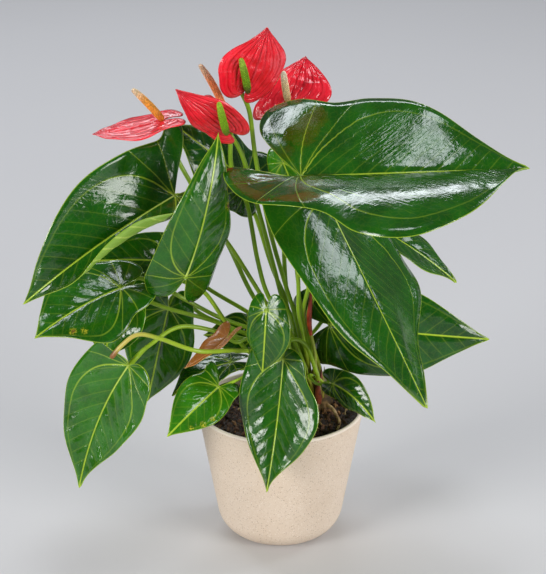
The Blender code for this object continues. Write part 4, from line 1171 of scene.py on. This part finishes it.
# Roots: pale air roots that run out over the compost from the crown, each with its radius
rootLook = [
    ([(38, -2, 112), (44, -12, 110), (47, -24, 109), (45, -34, 105)], 1.5),
    ([(30, -4, 113), (27, -16, 110), (31, -27, 108.5), (36, -36, 105)], 0.9),
    ([(24, -4, 113), (22, -18, 109.5), (27, -30, 108.5), (33, -33, 105)], 0.8),
    ([(42, 14, 112), (50, 12, 110), (54, 4, 108.5), (53, -6, 105)], 1.1),
    ([(40, 26, 112), (46, 34, 109.5), (44, 44, 108), (36, 50, 104.5)], 1.1),
    ([(12, 32, 112), (2, 40, 109.5), (-10, 44, 108), (-20, 42, 104.5)], 1.0),
    ([(-2, 10, 112), (-14, 6, 109.5), (-26, 8, 108), (-36, 2, 104.5)], 1.1),
    ([(0, 2, 112), (-12, -8, 109.5), (-20, -20, 108), (-22, -32, 104.5)], 0.9),
]
parts = []
for number, (path, radius) in enumerate(rootLook):
    wander = np.sin(np.linspace(0, 9, 40) + number)[:, None] * np.array([0.5, 0.4, 0.15])
    taper = radius * np.linspace(1.1, 0.75, 40) * (1 + 0.08 * np.sin(np.arange(40) * 1.7 + number))
    verts, faces, along, around = sweep(smoothCurve(path, 40) + wander, taper, 10)
    parts.append((verts, faces, {"along": along, "around": around}))
verts, faces, tags = joined(parts)
rootSkin = dryHusk("air_root_skin", "#c4a878", "#8a6a3e", 0.65)
hand(meshObject("air_roots", verts, faces, [rootSkin], tags), None, "soil")
print("roots made")

# Stage: a pale floor that runs out of view, five soft boxes and an even surround
stageLook = {
    "floor": ("#d0cfd0", "#d3d2d3"), "span": 9000, "surround": 0.12, "surroundTint": "#f6f7fa",
    "softBoxes": [  # place, width, height, watts, colour
        ((-1.7, -1.4, 0.8), 0.9, 0.9, 37.0, "#fffefc"),
        ((1.65, -1.3, 0.75), 1.1, 0.9, 33.0, "#fffefc"),
        ((-0.67, 1.85, 1.84), 2.6, 0.45, 29.0, "#f3f8ff"),
        ((-0.1, -0.1, 2.3), 0.6, 0.5, 9.0, "#f3f8ff"),
        ((1.57, 0.73, 1.3), 0.6, 0.7, 7.5, "#f3f8ff"),
    ],
    "aim": (0, 0, 0.22), "cameraPlace": (-0.0059, -1.3828, 0.7960), "cameraTilt": 67.2, "lens": 119.04,
}
look = stageLook
s = Finish("studio_floor")
stone = s.shade(s.mix(s.noise(400, 2), *look["floor"]), 0.9, None, {"Specular IOR Level": 0.1})
half = look["span"] / 2
meshObject("studio_floor", [(-half, -half, 0), (half, -half, 0), (half, half, 0), (-half, half, 0)],
                    [(0, 1, 2, 3)], [stone])

world = bpy.data.worlds.new("surround")
world.use_nodes = True
background = world.node_tree.nodes["Background"]
background.inputs[0].default_value = hexColour(look["surroundTint"])
background.inputs[1].default_value = look["surround"]
bpy.context.scene.world = world

for number, (place, width, height, watts, tint) in enumerate(look["softBoxes"]):
    lamp = bpy.data.lights.new("soft_box_%d" % number, "AREA")
    lamp.shape = "RECTANGLE"
    lamp.size, lamp.size_y = width, height
    lamp.energy = watts
    lamp.color = hexColour(tint)[:3]
    box = linked(lamp.name, lamp)
    box.location = place
    box.rotation_euler = (Vector(look["aim"]) - Vector(place)).to_track_quat("-Z", "Y").to_euler()

lens = bpy.data.cameras.new("camera")
lens.sensor_width = 36
lens.lens = look["lens"]
lens.clip_start = 0.05
camera = linked("camera", lens)
camera.location = look["cameraPlace"]
camera.rotation_euler = (math.radians(look["cameraTilt"]), 0, 0)
bpy.context.scene.camera = camera
bpy.context.scene.view_settings.view_transform = "Standard"
print("stage, lights and camera made")
